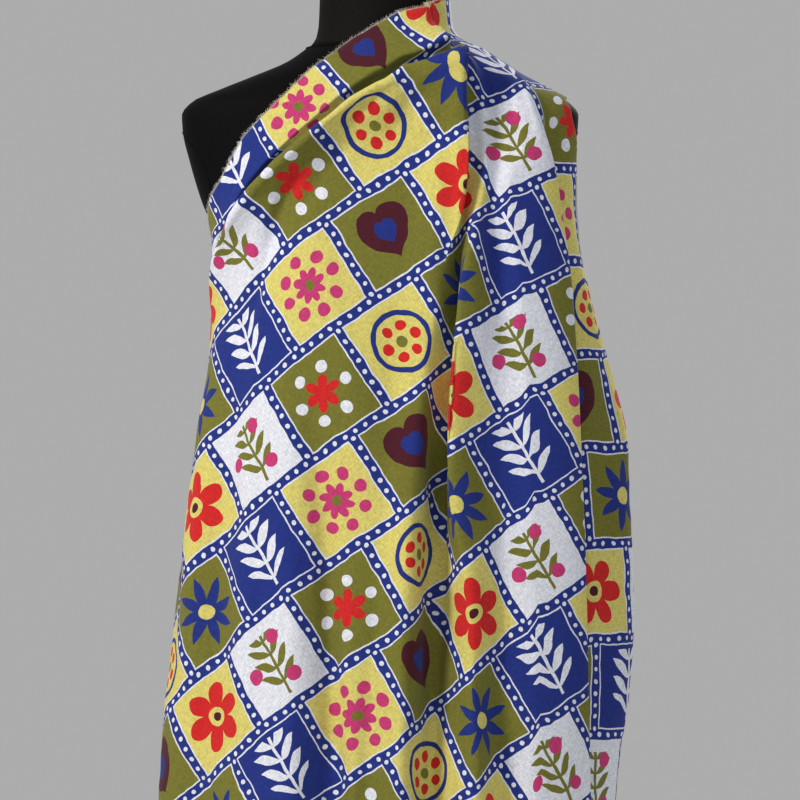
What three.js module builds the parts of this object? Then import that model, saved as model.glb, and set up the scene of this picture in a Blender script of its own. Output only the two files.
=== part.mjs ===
// One length of printed linen rayon cloth, draped over one shoulder of a limbless dress form.
// Sizes are in mm. +Z is up, the front faces -Y, and the origin is under the middle of the foot.
import * as THREE from "three";

// Driving sizes
const clothWall = 2;
const seamGap = 0.8;
const seatLift = 0.5;
const footRadius = 185;
const footHeight = 16;
const hubHeight = 46;
const poleRadius = 14;
const boardHeight = 14;
const torsoBottom = 830;
const neckSeam = 1556;
const neckTop = 1640;
const fit = 0.3;

// Colours of the real thing
const black = new THREE.MeshStandardMaterial({ color: 0x0c0c0e, roughness: 0.85, metalness: 0 });
const blackMetal = new THREE.MeshStandardMaterial({ color: 0x17181a, roughness: 0.45, metalness: 0.6 });
const steel = new THREE.MeshStandardMaterial({ color: 0xb9bcc0, roughness: 0.3, metalness: 1 });
const board = new THREE.MeshStandardMaterial({ color: 0x2a2624, roughness: 0.6, metalness: 0 });
const cloth = new THREE.MeshStandardMaterial({ color: 0xc9bf3f, roughness: 0.9, metalness: 0 });

// The form's level sections, from the hips to the neck seam. side is half the breadth.
const formSections = [
  { z: 830, side: 152, front: 104, back: 106, power: 2.3 },
  { z: 842, side: 160, front: 111, back: 114, power: 2.3 },
  { z: 920, side: 167, front: 115, back: 121, power: 2.3 },
  { z: 1000, side: 168, front: 116, back: 122, power: 2.3 },
  { z: 1090, side: 143, front: 106, back: 109, power: 2.3 },
  { z: 1170, side: 124, front: 98, back: 96, power: 2.3 },
  { z: 1230, side: 136, front: 111, back: 103, power: 2.3 },
  { z: 1300, side: 156, front: 125, back: 111, power: 2.3 },
  { z: 1360, side: 164, front: 114, back: 107, power: 2.35 },
  { z: 1400, side: 180, front: 104, back: 101, power: 2.4 },
  { z: 1440, side: 192, front: 94, back: 94, power: 2.5 },
  { z: 1470, side: 199, front: 90, back: 90, power: 2.5 },
  { z: 1487, side: 200, front: 88, back: 88, power: 2.5 },
  { z: 1500, side: 190, front: 86, back: 86, power: 2.5 },
  { z: 1512, side: 163, front: 83, back: 83, power: 2.45 },
  { z: 1526, side: 128, front: 79, back: 79, power: 2.35 },
  { z: 1540, side: 95, front: 73, back: 73, power: 2.2 },
  { z: 1556, side: 72, front: 68, back: 68, power: 2 },
];
const neckSections = [
  { z: 1556, side: 71, front: 67, back: 67, power: 2 },
  { z: 1564, side: 65, front: 64, back: 64, power: 2 },
  { z: 1580, side: 62, front: 62, back: 62, power: 2 },
  { z: 1640, side: 60, front: 60, back: 60, power: 2 },
];

// The level sections that the cloth would follow with no folds in it. left is the -X side.
const clothSections = [
  { z: 180, left: 286, right: 205, front: 190, back: 168, power: 2.2 },
  { z: 400, left: 264, right: 215, front: 181, back: 157, power: 2.2 },
  { z: 800, left: 222, right: 235, front: 163, back: 140, power: 2.25 },
  { z: 1000, left: 202, right: 254, front: 153, back: 131, power: 2.3 },
  { z: 1150, left: 185, right: 247, front: 144, back: 120, power: 2.3 },
  { z: 1230, left: 172, right: 229, front: 139, back: 117, power: 2.3 },
  { z: 1300, left: 164, right: 212, front: 133, back: 117, power: 2.3 },
  { z: 1360, left: 168, right: 203, front: 121, back: 111, power: 2.35 },
  { z: 1400, left: 183, right: 200, front: 108, back: 104, power: 2.4 },
  { z: 1440, left: 195, right: 199, front: 98, back: 97, power: 2.5 },
  { z: 1470, left: 202, right: 202, front: 93, back: 93, power: 2.5 },
  { z: 1487, left: 203, right: 203, front: 91, back: 91, power: 2.5 },
  { z: 1500, left: 193, right: 192, front: 89, back: 89, power: 2.5 },
  { z: 1512, left: 167, right: 170, front: 87, back: 86, power: 2.45 },
  { z: 1526, left: 132, right: 143, front: 83, back: 82, power: 2.35 },
  { z: 1540, left: 99, right: 122, front: 78, back: 77, power: 2.25 },
  { z: 1552, left: 79, right: 104, front: 73, back: 72, power: 2.1 },
  { z: 1562, left: 68, right: 82, front: 68, back: 68, power: 2 },
  { z: 1576, left: 65, right: 72, front: 65, back: 65, power: 2 },
  { z: 1620, left: 64, right: 68, front: 64, back: 64, power: 2 },
];

// The heights at which a fold's place and relief are given.
const levels = [400, 800, 1000, 1150, 1300, 1400, 1450, 1490, 1520, 1560];
const neckRoot = 1560;

// Each fold runs down the sheet. x is its place across the front at each level, or turn its angle
// round the form, from +X, in degrees, less than 0 at the front. out is how far it stands proud.
// top and hem are the sheet's edges there, line the height where the upper rows end, and roll how
// far the rolled fold of the neckline lies under the top edge, at the share rolled of its full size.
const folds = [
  {
    name: "free edge",
    turn: [-13, -13, -13, -13, -13, -14, -15, -24, -9, -11],
    out: [4, 2, 1, 1, 1, 1, 1.5, 1.5, 1, 1],
    top: 1606, line: 1498, hem: 700, roll: 40, rolled: 0,
  },
  {
    name: "side panel",
    turn: [-19, -19, -19, -19, -20, -23, -26, -31, -14.5, -20],
    out: [12, 8, 6, 4, 3, 2, 1, 1, 1, 1],
    top: 1603, line: 1494, hem: 665, roll: 40, rolled: 0,
  },
  {
    name: "knife pleat",
    x: [204, 210, 208, 203, 192, 179, 170, 157, 143, 74],
    out: [2, 2, 2, 2, 2, 2, 2, 2, 2, 2],
    top: 1600, line: 1488, hem: 610, roll: 36, rolled: 0,
  },
  {
    name: "centre fall",
    x: [118, 126, 126, 125, 128, 128, 124, 118, 111, 66],
    out: [-8, -5, -2, 0, 4, 6, 4, 3, 4, 3],
    top: 1597, line: 1482, hem: 545, roll: 34, rolled: 0.05,
  },
  {
    name: "right lip of the main valley",
    x: [88, 92, 96, 96, 108, 116, 114, 110, 102, 62],
    out: [14, 12, 12, 15, 15, 11, 5, 3, 4, 3],
    top: 1596, line: 1478, hem: 508, roll: 34, rolled: 0.2,
  },
  {
    name: "main valley",
    x: [42, 52, 60, 65, 80, 90, 87, 86, 84, 57],
    out: [-20, -16, -13, -9, -3, 0, 0, 0, 0, 1],
    top: 1595, line: 1472, hem: 482, roll: 34, rolled: 0.35,
  },
  {
    name: "left lip of the main valley",
    x: [0, 16, 22, 30, 46, 60, 64, 68, 66, 45],
    out: [14, 12, 12, 9, 8, 13, 13, 13, 11, 6],
    top: 1591, line: 1465, hem: 455, roll: 34, rolled: 0.9,
  },
  {
    name: "centre front",
    x: [-30, -18, -8, 2, 14, 22, 24, 24, 22, 20],
    out: [-10, -4, 2, 4, 3, 3, 3, 3, 3, 3],
    top: 1585, line: 1455, hem: 428, roll: 37, rolled: 1,
  },
  {
    name: "small tuck",
    x: [-62, -50, -50, -54, -48, -36, -32, -28, -24, -20],
    out: [-16, -12, -7, 0, 2, 2, 2, 2, 2, 2],
    top: 1560, line: 1428, hem: 400, roll: 37, rolled: 1,
  },
  {
    name: "left breast",
    x: [-100, -86, -86, -90, -84, -72, -64, -60, -56, -50],
    out: [12, 9, 7, 5, 4, 3, 3, 3, 3, 3],
    top: 1533, line: 1396, hem: 366, roll: 34, rolled: 1,
  },
  {
    name: "left chest",
    x: [-150, -126, -122, -120, -112, -103, -98, -94, -94, -94],
    out: [2, 4, 4, 3, 2, 2, 2, 2, 2, 2],
    top: 1500, line: 1356, hem: 322, roll: 33, rolled: 1,
  },
  {
    name: "left valley",
    x: [-204, -174, -160, -149, -139, -135, -134, -134, -134, -134],
    out: [-14, -11, -8, -5, 0, 0, 0, 0, 0, 0],
    top: 1460, line: 1310, hem: 276, roll: 42, rolled: 1,
  },
  {
    name: "left ridge",
    x: [-246, -208, -190, -174, -157, -156, -156, -156, -156, -156],
    out: [10, 6, 5, 4, 3, 1, 1, 1, 1, 1],
    top: 1418, line: 1265, hem: 240, roll: 72, rolled: 0.8,
  },
  {
    name: "left side",
    turn: [-181, -180, -180, -180, -178, -176, -176, -176, -176, -176],
    out: [0, 0, 0, 0, 1, 1, 1, 1, 1, 1],
    top: 1350, line: 1215, hem: 218, roll: 88, rolled: 0.3,
  },
  {
    name: "back ridge by the arm",
    turn: [-206, -204, -203, -203, -203, -203, -203, -203, -203, -203],
    out: [14, 10, 8, 5, 3, 1, 1, 1, 1, 1],
    top: 1338, line: 1200, hem: 232, roll: 88, rolled: 0,
  },
  {
    name: "back valley",
    turn: [-226, -225, -224, -224, -224, -224, -224, -224, -224, -224],
    out: [-14, -10, -6, -2, 1, 1, 1, 1, 1, 1],
    top: 1334, line: 1195, hem: 262, roll: 88, rolled: 0,
  },
  {
    name: "centre back",
    turn: [-252, -250, -249, -249, -249, -249, -249, -249, -249, -249],
    out: [16, 12, 8, 5, 3, 1, 1, 1, 1, 1],
    top: 1333, line: 1195, hem: 300, roll: 88, rolled: 0,
  },
  {
    name: "right back valley",
    turn: [-274, -272, -271, -270, -270, -270, -270, -270, -270, -270],
    out: [-12, -8, -6, -2, 1, 1, 1, 1, 1, 1],
    top: 1335, line: 1197, hem: 326, roll: 88, rolled: 0,
  },
  {
    name: "back end",
    turn: [-298, -296, -294, -293, -292, -292, -292, -292, -292, -292],
    out: [10, 7, 5, 3, 2, 2, 2, 2, 2, 2],
    top: 1340, line: 1202, hem: 344, roll: 88, rolled: 0,
  },
];

// The corner of the sheet that hangs down behind the shoulder, from its far edge to the free edge.
const flapFolds = [
  { turn: [50, 44], out: 0.6, top: 1532, line: 1398 },
  { turn: [34, 31], out: 4, top: 1588, line: 1440 },
  { turn: [18, 15], out: 1.1, top: 1607, line: 1486 },
  { turn: [3, 3], out: 0.8, top: 1612, line: 1510 },
];
const flapHigh = 1600;
const flapLow = 1420;

// The knife pleat, seen on a level cut, from the layer beneath to the one on top. across is in
// shares of the pleat's depth plus mm. turn is where that column runs once the pleat has opened.
const pleatLayers = [
  { name: "under layer", depths: -1, across: 9, out: -1, turn: 4 },
  { name: "inner turn, low", depths: -1, across: 1.5, out: 0.4, turn: 2.8 },
  { name: "inner fold", depths: -1, across: 0, out: 2.8, turn: 1.8 },
  { name: "inner turn, high", depths: -1, across: 2.5, out: 5.2, turn: 0.9 },
  { name: "return layer", depths: -0.5, across: 0, out: 6.2, turn: 0 },
  { name: "outer turn, low", depths: 0, across: -3, out: 7.2, turn: -0.9 },
  { name: "outer fold", depths: 0, across: 0, out: 9.8, turn: -1.9 },
  { name: "outer turn, high", depths: 0, across: -3, out: 12.2, turn: -2.8 },
  { name: "top layer", depths: -0.5, across: 0, out: 13, turn: -4.2 },
  { name: "root of the top layer", depths: -1, across: -8, out: 11, turn: -5.6 },
];
const pleatDepth = 42;
const pleatRise = { from: 1540, to: 1470 };
const pleatLap = { from: 1488, to: 1400 };

// The rows of the sheet above its line. share is for a plain column. Where the neckline is rolled,
// rolls gives the row's height as shares of the roll's drop, tuck and skirt, and out its relief.
const upperRows = [
  { share: 0, drop: 0, tuck: 0, skirt: 0, out: 0 },
  { share: 0.14, drop: 0.5, tuck: 0, skirt: 0, out: 0.4 },
  { share: 0.25, drop: 1, tuck: 0, skirt: 0, out: 0 },
  { share: 0.3, drop: 1, tuck: 0.8, skirt: 0, out: 0.6 },
  { share: 0.34, drop: 1, tuck: 1, skirt: 0, out: 3 },
  { share: 0.38, drop: 1, tuck: 0.7, skirt: 0, out: 5.6 },
  { share: 0.42, drop: 1, tuck: 0.15, skirt: 0, out: 8.2 },
  { share: 0.46, drop: 1, tuck: 0, skirt: 0, out: 11.4 },
  { share: 0.51, drop: 1, tuck: 0.5, skirt: 0, out: 14.4 },
  { share: 0.6, drop: 1, tuck: 1, skirt: 0.12, out: 14 },
  { share: 0.72, drop: 1, tuck: 1, skirt: 0.36, out: 8.5 },
  { share: 0.86, drop: 1, tuck: 1, skirt: 0.68, out: 3 },
  { share: 1, drop: 1, tuck: 1, skirt: 1, out: 0 },
];
const tuckDepth = 13;
const lowerRowCount = 15;
const lowerRowPower = 1.45;

// How many columns of the grid lie between one fold and the next.
const columnsPerFold = 4;
const columnsByPleat = 3;

// Smooth curve through a table's column, with no overshoot between rows.
function alongTable(knots, values, at) {
  const last = knots.length - 1;
  if (at <= knots[0]) return values[0];
  if (at >= knots[last]) return values[last];
  let i = 0;
  while (at > knots[i + 1]) i += 1;
  const slopeOf = (k) => (values[k + 1] - values[k]) / (knots[k + 1] - knots[k]);
  const tangentAt = (k) => {
    if (k <= 0 || k >= last) return slopeOf(Math.min(Math.max(k, 0), last - 1));
    const before = slopeOf(k - 1);
    const after = slopeOf(k);
    return before * after <= 0 ? 0 : (2 * before * after) / (before + after);
  };
  const span = knots[i + 1] - knots[i];
  const t = (at - knots[i]) / span;
  const u = 1 - t;
  const ends = values[i] * u * u * (1 + 2 * t) + values[i + 1] * t * t * (3 - 2 * t);
  return ends + span * t * u * (tangentAt(i) * u - tangentAt(i + 1) * t);
}

function ease(t) {
  const c = Math.min(Math.max(t, 0), 1);
  return c * c * (3 - 2 * c);
}

function mix(a, b, t) {
  return a + (b - a) * t;
}

// One level section of a table at height z.
function sectionAt(table, z) {
  const heights = table.map((row) => row.z);
  const read = (key) => alongTable(heights, table.map((row) => row[key] ?? row.side), z);
  const [left, right, front, back, power] = ["left", "right", "front", "back", "power"].map(read);
  return { left, right, front, back, power };
}

// A point of a level section at an angle from +X, in degrees.
function sectionPoint(table, turn, z) {
  const s = sectionAt(table, z);
  const c = Math.cos(THREE.MathUtils.degToRad(turn));
  const n = Math.sin(THREE.MathUtils.degToRad(turn));
  const x = (c < 0 ? -s.left : s.right) * Math.abs(c) ** (2 / s.power);
  const y = (n < 0 ? -s.front : s.back) * Math.abs(n) ** (2 / s.power);
  return new THREE.Vector3(x, y, z);
}

// The angle at which the front of a section is x mm to the side.
function turnAtX(x, z) {
  const s = sectionAt(clothSections, z);
  const share = Math.min(Math.abs(x) / (x < 0 ? s.left : s.right), 0.9999);
  const angle = THREE.MathUtils.radToDeg(Math.acos(share ** (s.power / 2)));
  return x < 0 ? angle - 180 : -angle;
}

// The cloth's plain surface moved out by a distance along its own normal.
function onCloth(turn, z, out) {
  const step = 0.5;
  const p = sectionPoint(clothSections, turn, z);
  const along = sectionPoint(clothSections, turn - step, z).sub(sectionPoint(clothSections, turn + step, z));
  const down = sectionPoint(clothSections, turn, z - step).sub(sectionPoint(clothSections, turn, z + step));
  const normal = along.cross(down).normalize();
  return p.addScaledVector(normal, out + seatLift);
}

function foldTurn(fold, z) {
  if (fold.turn) return alongTable(levels, fold.turn, z);
  return turnAtX(alongTable(levels, fold.x, z), Math.min(z, neckRoot));
}

function foldOut(fold, z) {
  return alongTable(levels, fold.out, z);
}

// A column of the sheet between two folds: where its edges are, and its angle and relief at z.
function columnBetween(a, b, t) {
  const between = {};
  for (const key of ["top", "line", "hem", "roll", "rolled"]) between[key] = mix(a[key], b[key], t);
  between.turnAt = (z) => mix(foldTurn(a, z), foldTurn(b, z), t);
  between.outAt = (z) => mix(foldOut(a, z), foldOut(b, z), ease(t));
  return between;
}

// A column in the knife pleat: it follows the pleat's fold, aside by its layer's place.
function pleatColumn(fold, layer) {
  const share = (span, z) => ease((span.from - z) / (span.from - span.to));
  const column = columnBetween(fold, fold, 0);
  column.turnAt = (z) => {
    const opened = foldTurn(fold, z) + layer.turn;
    if (z >= pleatLap.from) return opened;
    const x = alongTable(levels, fold.x, z) + layer.depths * pleatDepth + layer.across;
    return mix(opened, turnAtX(x, z), share(pleatLap, z));
  };
  column.outAt = (z) => foldOut(fold, z) + layer.out * share(pleatRise, z);
  return column;
}

// All columns, from the free edge round the front to the back end.
function sheetColumns() {
  const columns = [];
  folds.forEach((fold, i) => {
    if (fold.name === "knife pleat") {
      const layers = pleatLayers.map((layer) => pleatColumn(fold, layer));
      layers[0].firstOfPleat = true;
      columns.push(...layers);
      return;
    }
    columns.push({ ...columnBetween(fold, fold, 0), name: fold.name });
    const next = folds[i + 1];
    if (!next || next.name === "knife pleat") return;
    for (let k = 1; k < columnsPerFold; k += 1) columns.push(columnBetween(fold, next, k / columnsPerFold));
  });
  // the plain columns on either side of the pleat blend from their fold into its outer layers
  const first = columns.findIndex((c) => c.firstOfPleat);
  const last = first + pleatLayers.length - 1;
  const fill = (a, b, count) => Array.from({ length: count }, (_, k) => {
    const t = (k + 1) / (count + 1);
    const filler = {};
    for (const key of ["top", "line", "hem", "roll", "rolled"]) filler[key] = mix(a[key], b[key], t);
    filler.turnAt = (z) => mix(a.turnAt(z), b.turnAt(z), t);
    filler.outAt = (z) => mix(a.outAt(z), b.outAt(z), ease(t));
    return filler;
  });
  const right = fill(columns[first - 1], columns[first], columnsByPleat);
  const left = fill(columns[last], columns[last + 1], columnsByPleat);
  const pleat = columns.slice(first, last + 1);
  return [...columns.slice(0, first), ...right, ...pleat, ...left, ...columns.slice(last + 1)];
}

// A row above the line, for one column.
function upperPoint(column, row) {
  const plain = column.top - row.share * (column.top - column.line);
  const crest = column.top - column.roll;
  const skirt = crest - tuckDepth - column.line;
  const rolled = crest + (1 - row.drop) * column.roll - row.tuck * tuckDepth - row.skirt * skirt;
  const z = mix(plain, rolled, column.rolled);
  return onCloth(column.turnAt(z), z, column.outAt(z) + row.out * column.rolled);
}

function lowerPoint(column, share) {
  const z = mix(column.line, column.hem, share);
  return onCloth(column.turnAt(z), z, column.outAt(z));
}

function flapColumn(a, b, t) {
  const turnAt = (f, z) => (typeof f.turnAt === "function" ? f.turnAt(z)
    : mix(f.turn[1], f.turn[0], (z - flapLow) / (flapHigh - flapLow)));
  const outAt = (f, z) => (typeof f.outAt === "function" ? f.outAt(z) : f.out);
  const between = { roll: 0, rolled: 0, top: mix(a.top, b.top, t), line: mix(a.line, b.line, t) };
  between.turnAt = (z) => mix(turnAt(a, z), turnAt(b, z), t);
  between.outAt = (z) => mix(outAt(a, z), outAt(b, z), ease(t));
  return between;
}

// The whole sheet's middle surface: the flap's short columns, then the long ones.
function sheetGrid() {
  const long = sheetColumns();
  const marks = [...flapFolds, long[0]];
  const short = [];
  for (let i = 0; i < marks.length - 1; i += 1) {
    for (let k = 0; k < 2; k += 1) short.push(flapColumn(marks[i], marks[i + 1], k / 2));
  }
  const points = [];
  for (const column of short) points.push(upperRows.map((row) => upperPoint(column, row)));
  for (const column of long) {
    const upper = upperRows.map((row) => upperPoint(column, row));
    const shares = Array.from(
      { length: lowerRowCount },
      (_, k) => ((k + 1) / lowerRowCount) ** lowerRowPower,
    );
    const lower = shares.map((share) => lowerPoint(column, share));
    points.push([...upper, ...lower]);
  }
  return { points, shortCount: short.length, long };
}

// Outward normals of the grid, from the neighbours that exist.
function gridNormals(points) {
  return points.map((column, c) => column.map((p, r) => {
    const side = (k) => (points[k] && points[k][r] ? points[k][r] : p);
    const across = side(c + 1).clone().sub(side(c - 1));
    const down = (column[r + 1] ?? p).clone().sub(column[r - 1] ?? p);
    return across.cross(down).normalize();
  }));
}

// A closed wall on the columns from..to of the grid, parted from its neighbours by half a seam gap.
function wallMesh(name, grid, normals, from, to, rows, open) {
  const outer = [];
  const inner = [];
  const count = to - from + 1;
  for (let c = from; c <= to; c += 1) {
    for (let r = 0; r < rows; r += 1) {
      const p = grid[c][r].clone();
      const end = (c === from && open.from) || (c === to && open.to);
      if (end) {
        const seam = (grid[c][r + 1] ?? p).clone().sub(grid[c][r - 1] ?? p).normalize();
        const inward = grid[c === from ? c + 1 : c - 1][r].clone().sub(p);
        inward.addScaledVector(seam, -inward.dot(seam)).normalize();
        p.addScaledVector(inward, seamGap / 2);
      }
      outer.push(p.clone().addScaledVector(normals[c][r], clothWall / 2));
      inner.push(p.clone().addScaledVector(normals[c][r], -clothWall / 2));
    }
  }
  const position = new Float32Array([...outer, ...inner].flatMap((p) => [p.x, p.y, p.z]));
  const index = [];
  const at = (c, r) => c * rows + r;
  const under = count * rows;
  const quad = (a, b, c, d) => index.push(a, b, c, a, c, d);
  for (let c = 0; c < count - 1; c += 1) {
    for (let r = 0; r < rows - 1; r += 1) {
      quad(at(c, r), at(c + 1, r), at(c + 1, r + 1), at(c, r + 1));
      quad(under + at(c, r), under + at(c, r + 1), under + at(c + 1, r + 1), under + at(c + 1, r));
    }
    quad(at(c + 1, 0), at(c, 0), under + at(c, 0), under + at(c + 1, 0));
    quad(at(c, rows - 1), at(c + 1, rows - 1), under + at(c + 1, rows - 1), under + at(c, rows - 1));
  }
  for (let r = 0; r < rows - 1; r += 1) {
    quad(at(0, r), at(0, r + 1), under + at(0, r + 1), under + at(0, r));
    const end = count - 1;
    quad(at(end, r), under + at(end, r), under + at(end, r + 1), at(end, r + 1));
  }
  const geometry = new THREE.BufferGeometry();
  geometry.setAttribute("position", new THREE.BufferAttribute(position, 3));
  geometry.setIndex(index);
  geometry.computeVertexNormals();
  const mesh = new THREE.Mesh(geometry, cloth);
  mesh.name = name;
  return mesh;
}

// A closed solid through level sections, flat at both ends.
function sectionSolid(name, table, bottom, top, rings, sides, material) {
  const position = [];
  const index = [];
  for (let k = 0; k <= rings; k += 1) {
    const z = mix(bottom, top, k / rings);
    for (let i = 0; i < sides; i += 1) {
      const p = sectionPoint(table, (360 * i) / sides, z);
      position.push(p.x, p.y, p.z);
    }
  }
  for (let k = 0; k < rings; k += 1) {
    for (let i = 0; i < sides; i += 1) {
      const a = k * sides + i;
      const b = k * sides + ((i + 1) % sides);
      index.push(a, b, b + sides, a, b + sides, a + sides);
    }
  }
  const low = position.length / 3;
  position.push(0, 0, bottom, 0, 0, top);
  for (let i = 0; i < sides; i += 1) {
    const j = (i + 1) % sides;
    index.push(low, j, i, low + 1, rings * sides + i, rings * sides + j);
  }
  const geometry = new THREE.BufferGeometry();
  geometry.setAttribute("position", new THREE.BufferAttribute(new Float32Array(position), 3));
  geometry.setIndex(index);
  geometry.computeVertexNormals();
  const mesh = new THREE.Mesh(geometry, material);
  mesh.name = name;
  return mesh;
}

// A turned piece on the Z axis. outline is radius and height, from the axis or closed on itself.
function turned(name, outline, segments, material) {
  const geometry = new THREE.LatheGeometry(outline.map(([r, z]) => new THREE.Vector2(r, z)), segments);
  geometry.rotateX(Math.PI / 2);
  const mesh = new THREE.Mesh(geometry, material);
  mesh.name = name;
  return mesh;
}

function dressForm() {
  const group = new THREE.Group();
  const hubTop = footHeight + fit + hubHeight;
  const boardBottom = torsoBottom - fit - boardHeight;
  const clampBottom = boardBottom - fit - 58;
  const bore = poleRadius + fit;
  group.add(turned("foot_plate", [
    [0, 0], [footRadius - 3, 0], [footRadius, 3], [footRadius, 9], [footRadius - 5, 12.5],
    [60, footHeight], [0, footHeight],
  ], 48, blackMetal));
  group.add(turned("foot_hub", [
    [bore, footHeight + fit], [36, footHeight + fit], [36, footHeight + 12], [25, hubTop - 8],
    [23, hubTop], [bore, hubTop], [bore, footHeight + fit],
  ], 32, blackMetal));
  group.add(turned("pole", [
    [0, footHeight + fit], [poleRadius, footHeight + fit], [poleRadius, boardBottom - fit],
    [0, boardBottom - fit],
  ], 24, steel));
  group.add(turned("pole_clamp", [
    [bore, clampBottom], [20, clampBottom], [22, clampBottom + 3], [22, clampBottom + 40],
    [34, clampBottom + 50], [34, boardBottom - fit], [bore, boardBottom - fit], [bore, clampBottom],
  ], 32, blackMetal));
  group.add(sectionSolid("hip_board", [
    { z: 0, side: 146, front: 99, back: 101, power: 2.3 },
    { z: 2000, side: 146, front: 99, back: 101, power: 2.3 },
  ], boardBottom, torsoBottom - fit, 1, 48, board));
  group.add(sectionSolid("torso", formSections, torsoBottom, neckSeam - fit, 28, 40, black));
  group.add(sectionSolid("neck", neckSections, neckSeam, neckTop, 6, 36, black));
  group.add(turned("neck_cap", [
    [0, neckTop + fit], [57, neckTop + fit], [59, neckTop + 2], [59, neckTop + 6], [50, neckTop + 11],
    [16, neckTop + 14], [12, neckTop + 20], [0, neckTop + 22],
  ], 36, board));
  return group;
}

function drapedCloth() {
  const group = new THREE.Group();
  const { points, shortCount, long } = sheetGrid();
  const normals = gridNormals(points);
  const rows = points[shortCount].length;
  const column = (name) => shortCount + long.findIndex((c) => c.name === name);
  const pleatStart = shortCount + long.findIndex((c) => c.firstOfPleat);
  const pleatReturn = pleatStart + pleatLayers.findIndex((layer) => layer.name === "return layer");
  const stretches = [
    { name: "cloth_shoulder_corner", from: 0, to: shortCount, rows: upperRows.length, open: { to: true } },
    { name: "cloth_side_fall", from: shortCount, to: pleatReturn, rows, open: { from: true, to: true } },
    { name: "cloth_centre_fall", from: pleatReturn, to: column("main valley"), rows,
      open: { from: true, to: true } },
    { name: "cloth_front_wrap", from: column("main valley"), to: column("left side"), rows,
      open: { from: true, to: true } },
    { name: "cloth_back_wrap", from: column("left side"), to: points.length - 1, rows, open: { from: true } },
  ];
  for (const s of stretches) group.add(wallMesh(s.name, points, normals, s.from, s.to, s.rows, s.open));
  return group;
}

const part = new THREE.Group();
part.add(dressForm(), drapedCloth());

export default part;
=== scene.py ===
# A length of printed linen rayon cloth over one shoulder of a limbless dress form.
# The tables follow those of the CAD model, with finer folds. They are in mm, and the meshes in metres.
import math
import random

import bpy
import numpy as np
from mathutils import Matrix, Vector


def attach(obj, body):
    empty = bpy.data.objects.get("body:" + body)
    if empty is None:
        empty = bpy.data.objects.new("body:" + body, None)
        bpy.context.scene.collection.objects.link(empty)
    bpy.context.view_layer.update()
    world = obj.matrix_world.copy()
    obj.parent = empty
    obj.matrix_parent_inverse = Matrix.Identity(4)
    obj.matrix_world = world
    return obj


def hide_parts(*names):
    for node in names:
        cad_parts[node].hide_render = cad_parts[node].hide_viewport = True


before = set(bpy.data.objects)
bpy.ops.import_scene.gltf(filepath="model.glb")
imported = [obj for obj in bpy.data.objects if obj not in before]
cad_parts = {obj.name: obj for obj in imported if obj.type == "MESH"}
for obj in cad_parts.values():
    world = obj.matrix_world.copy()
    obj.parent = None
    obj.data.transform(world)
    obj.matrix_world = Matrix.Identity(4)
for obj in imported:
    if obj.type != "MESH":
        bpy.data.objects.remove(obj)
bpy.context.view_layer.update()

mm = 0.001
least = 1e-6  # keeps a length that is divided by off nothing


# Camera, floor and light

camera = {
    "aim": (0.020, -0.04, 1.200),  # the middle of the photo, between the form's sides and the cloth's front
    "distance": 4.3,
    "seen": 0.800,  # how much of the front plane the picture is across
    "sensor": 36,  # mm
}
light = {
    "key": {"at": (-2.1, -1.9, 2.9), "size": 0.8, "power": 128, "colour": "fff7ee"},
    "fill": {"at": (2.0, -2.6, 1.5), "size": 1.6, "power": 10, "colour": "f2f5ff"},
    "back": {"at": (1.3, 2.2, 2.8), "size": 1.4, "power": 70, "colour": "ffffff"},
    "world": "ececec",
    "worldStrength": 0.86,
    "floor": "e6e3de",
    "floorRoughness": 0.8,
    "floorReach": 8,  # m to each side, so that no corner of it shows
    "exposure": -0.8,
}


def linear(hexColour):
    # sRGB hex to the linear values that the shaders take
    parts = [int(hexColour[i:i + 2], 16) / 255 for i in (0, 2, 4)]
    return (*[p / 12.92 if p <= 0.04045 else ((p + 0.055) / 1.055) ** 2.4 for p in parts], 1.0)


def addNode(tree, kind, feeds=(), **settings):
    # feeds are the inputs by place or name: a number, a colour, a socket, or a node's first output
    made = tree.nodes.new(kind)
    for name, value in settings.items():
        setattr(made, name, value)
    for key, value in (feeds.items() if isinstance(feeds, dict) else enumerate(feeds)):
        if isinstance(value, bpy.types.Node):
            value = value.outputs[0]
        if isinstance(value, bpy.types.NodeSocket):
            tree.links.new(value, made.inputs[key])
        elif value is not None:
            made.inputs[key].default_value = value
    return made


def newMaterial(name, base, roughness, **sockets):
    # a material whose fixed values are set straight on the shader's sockets
    material = bpy.data.materials.new(name)
    material.use_nodes = True
    tree = material.node_tree
    shader = tree.nodes["Principled BSDF"]
    shader.inputs["Base Color"].default_value = linear(base)
    shader.inputs["Roughness"].default_value = roughness
    for key, value in sockets.items():
        shader.inputs[key.replace("_", " ")].default_value = value
    material.diffuse_color = linear(base)
    return material, tree, shader


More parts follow.
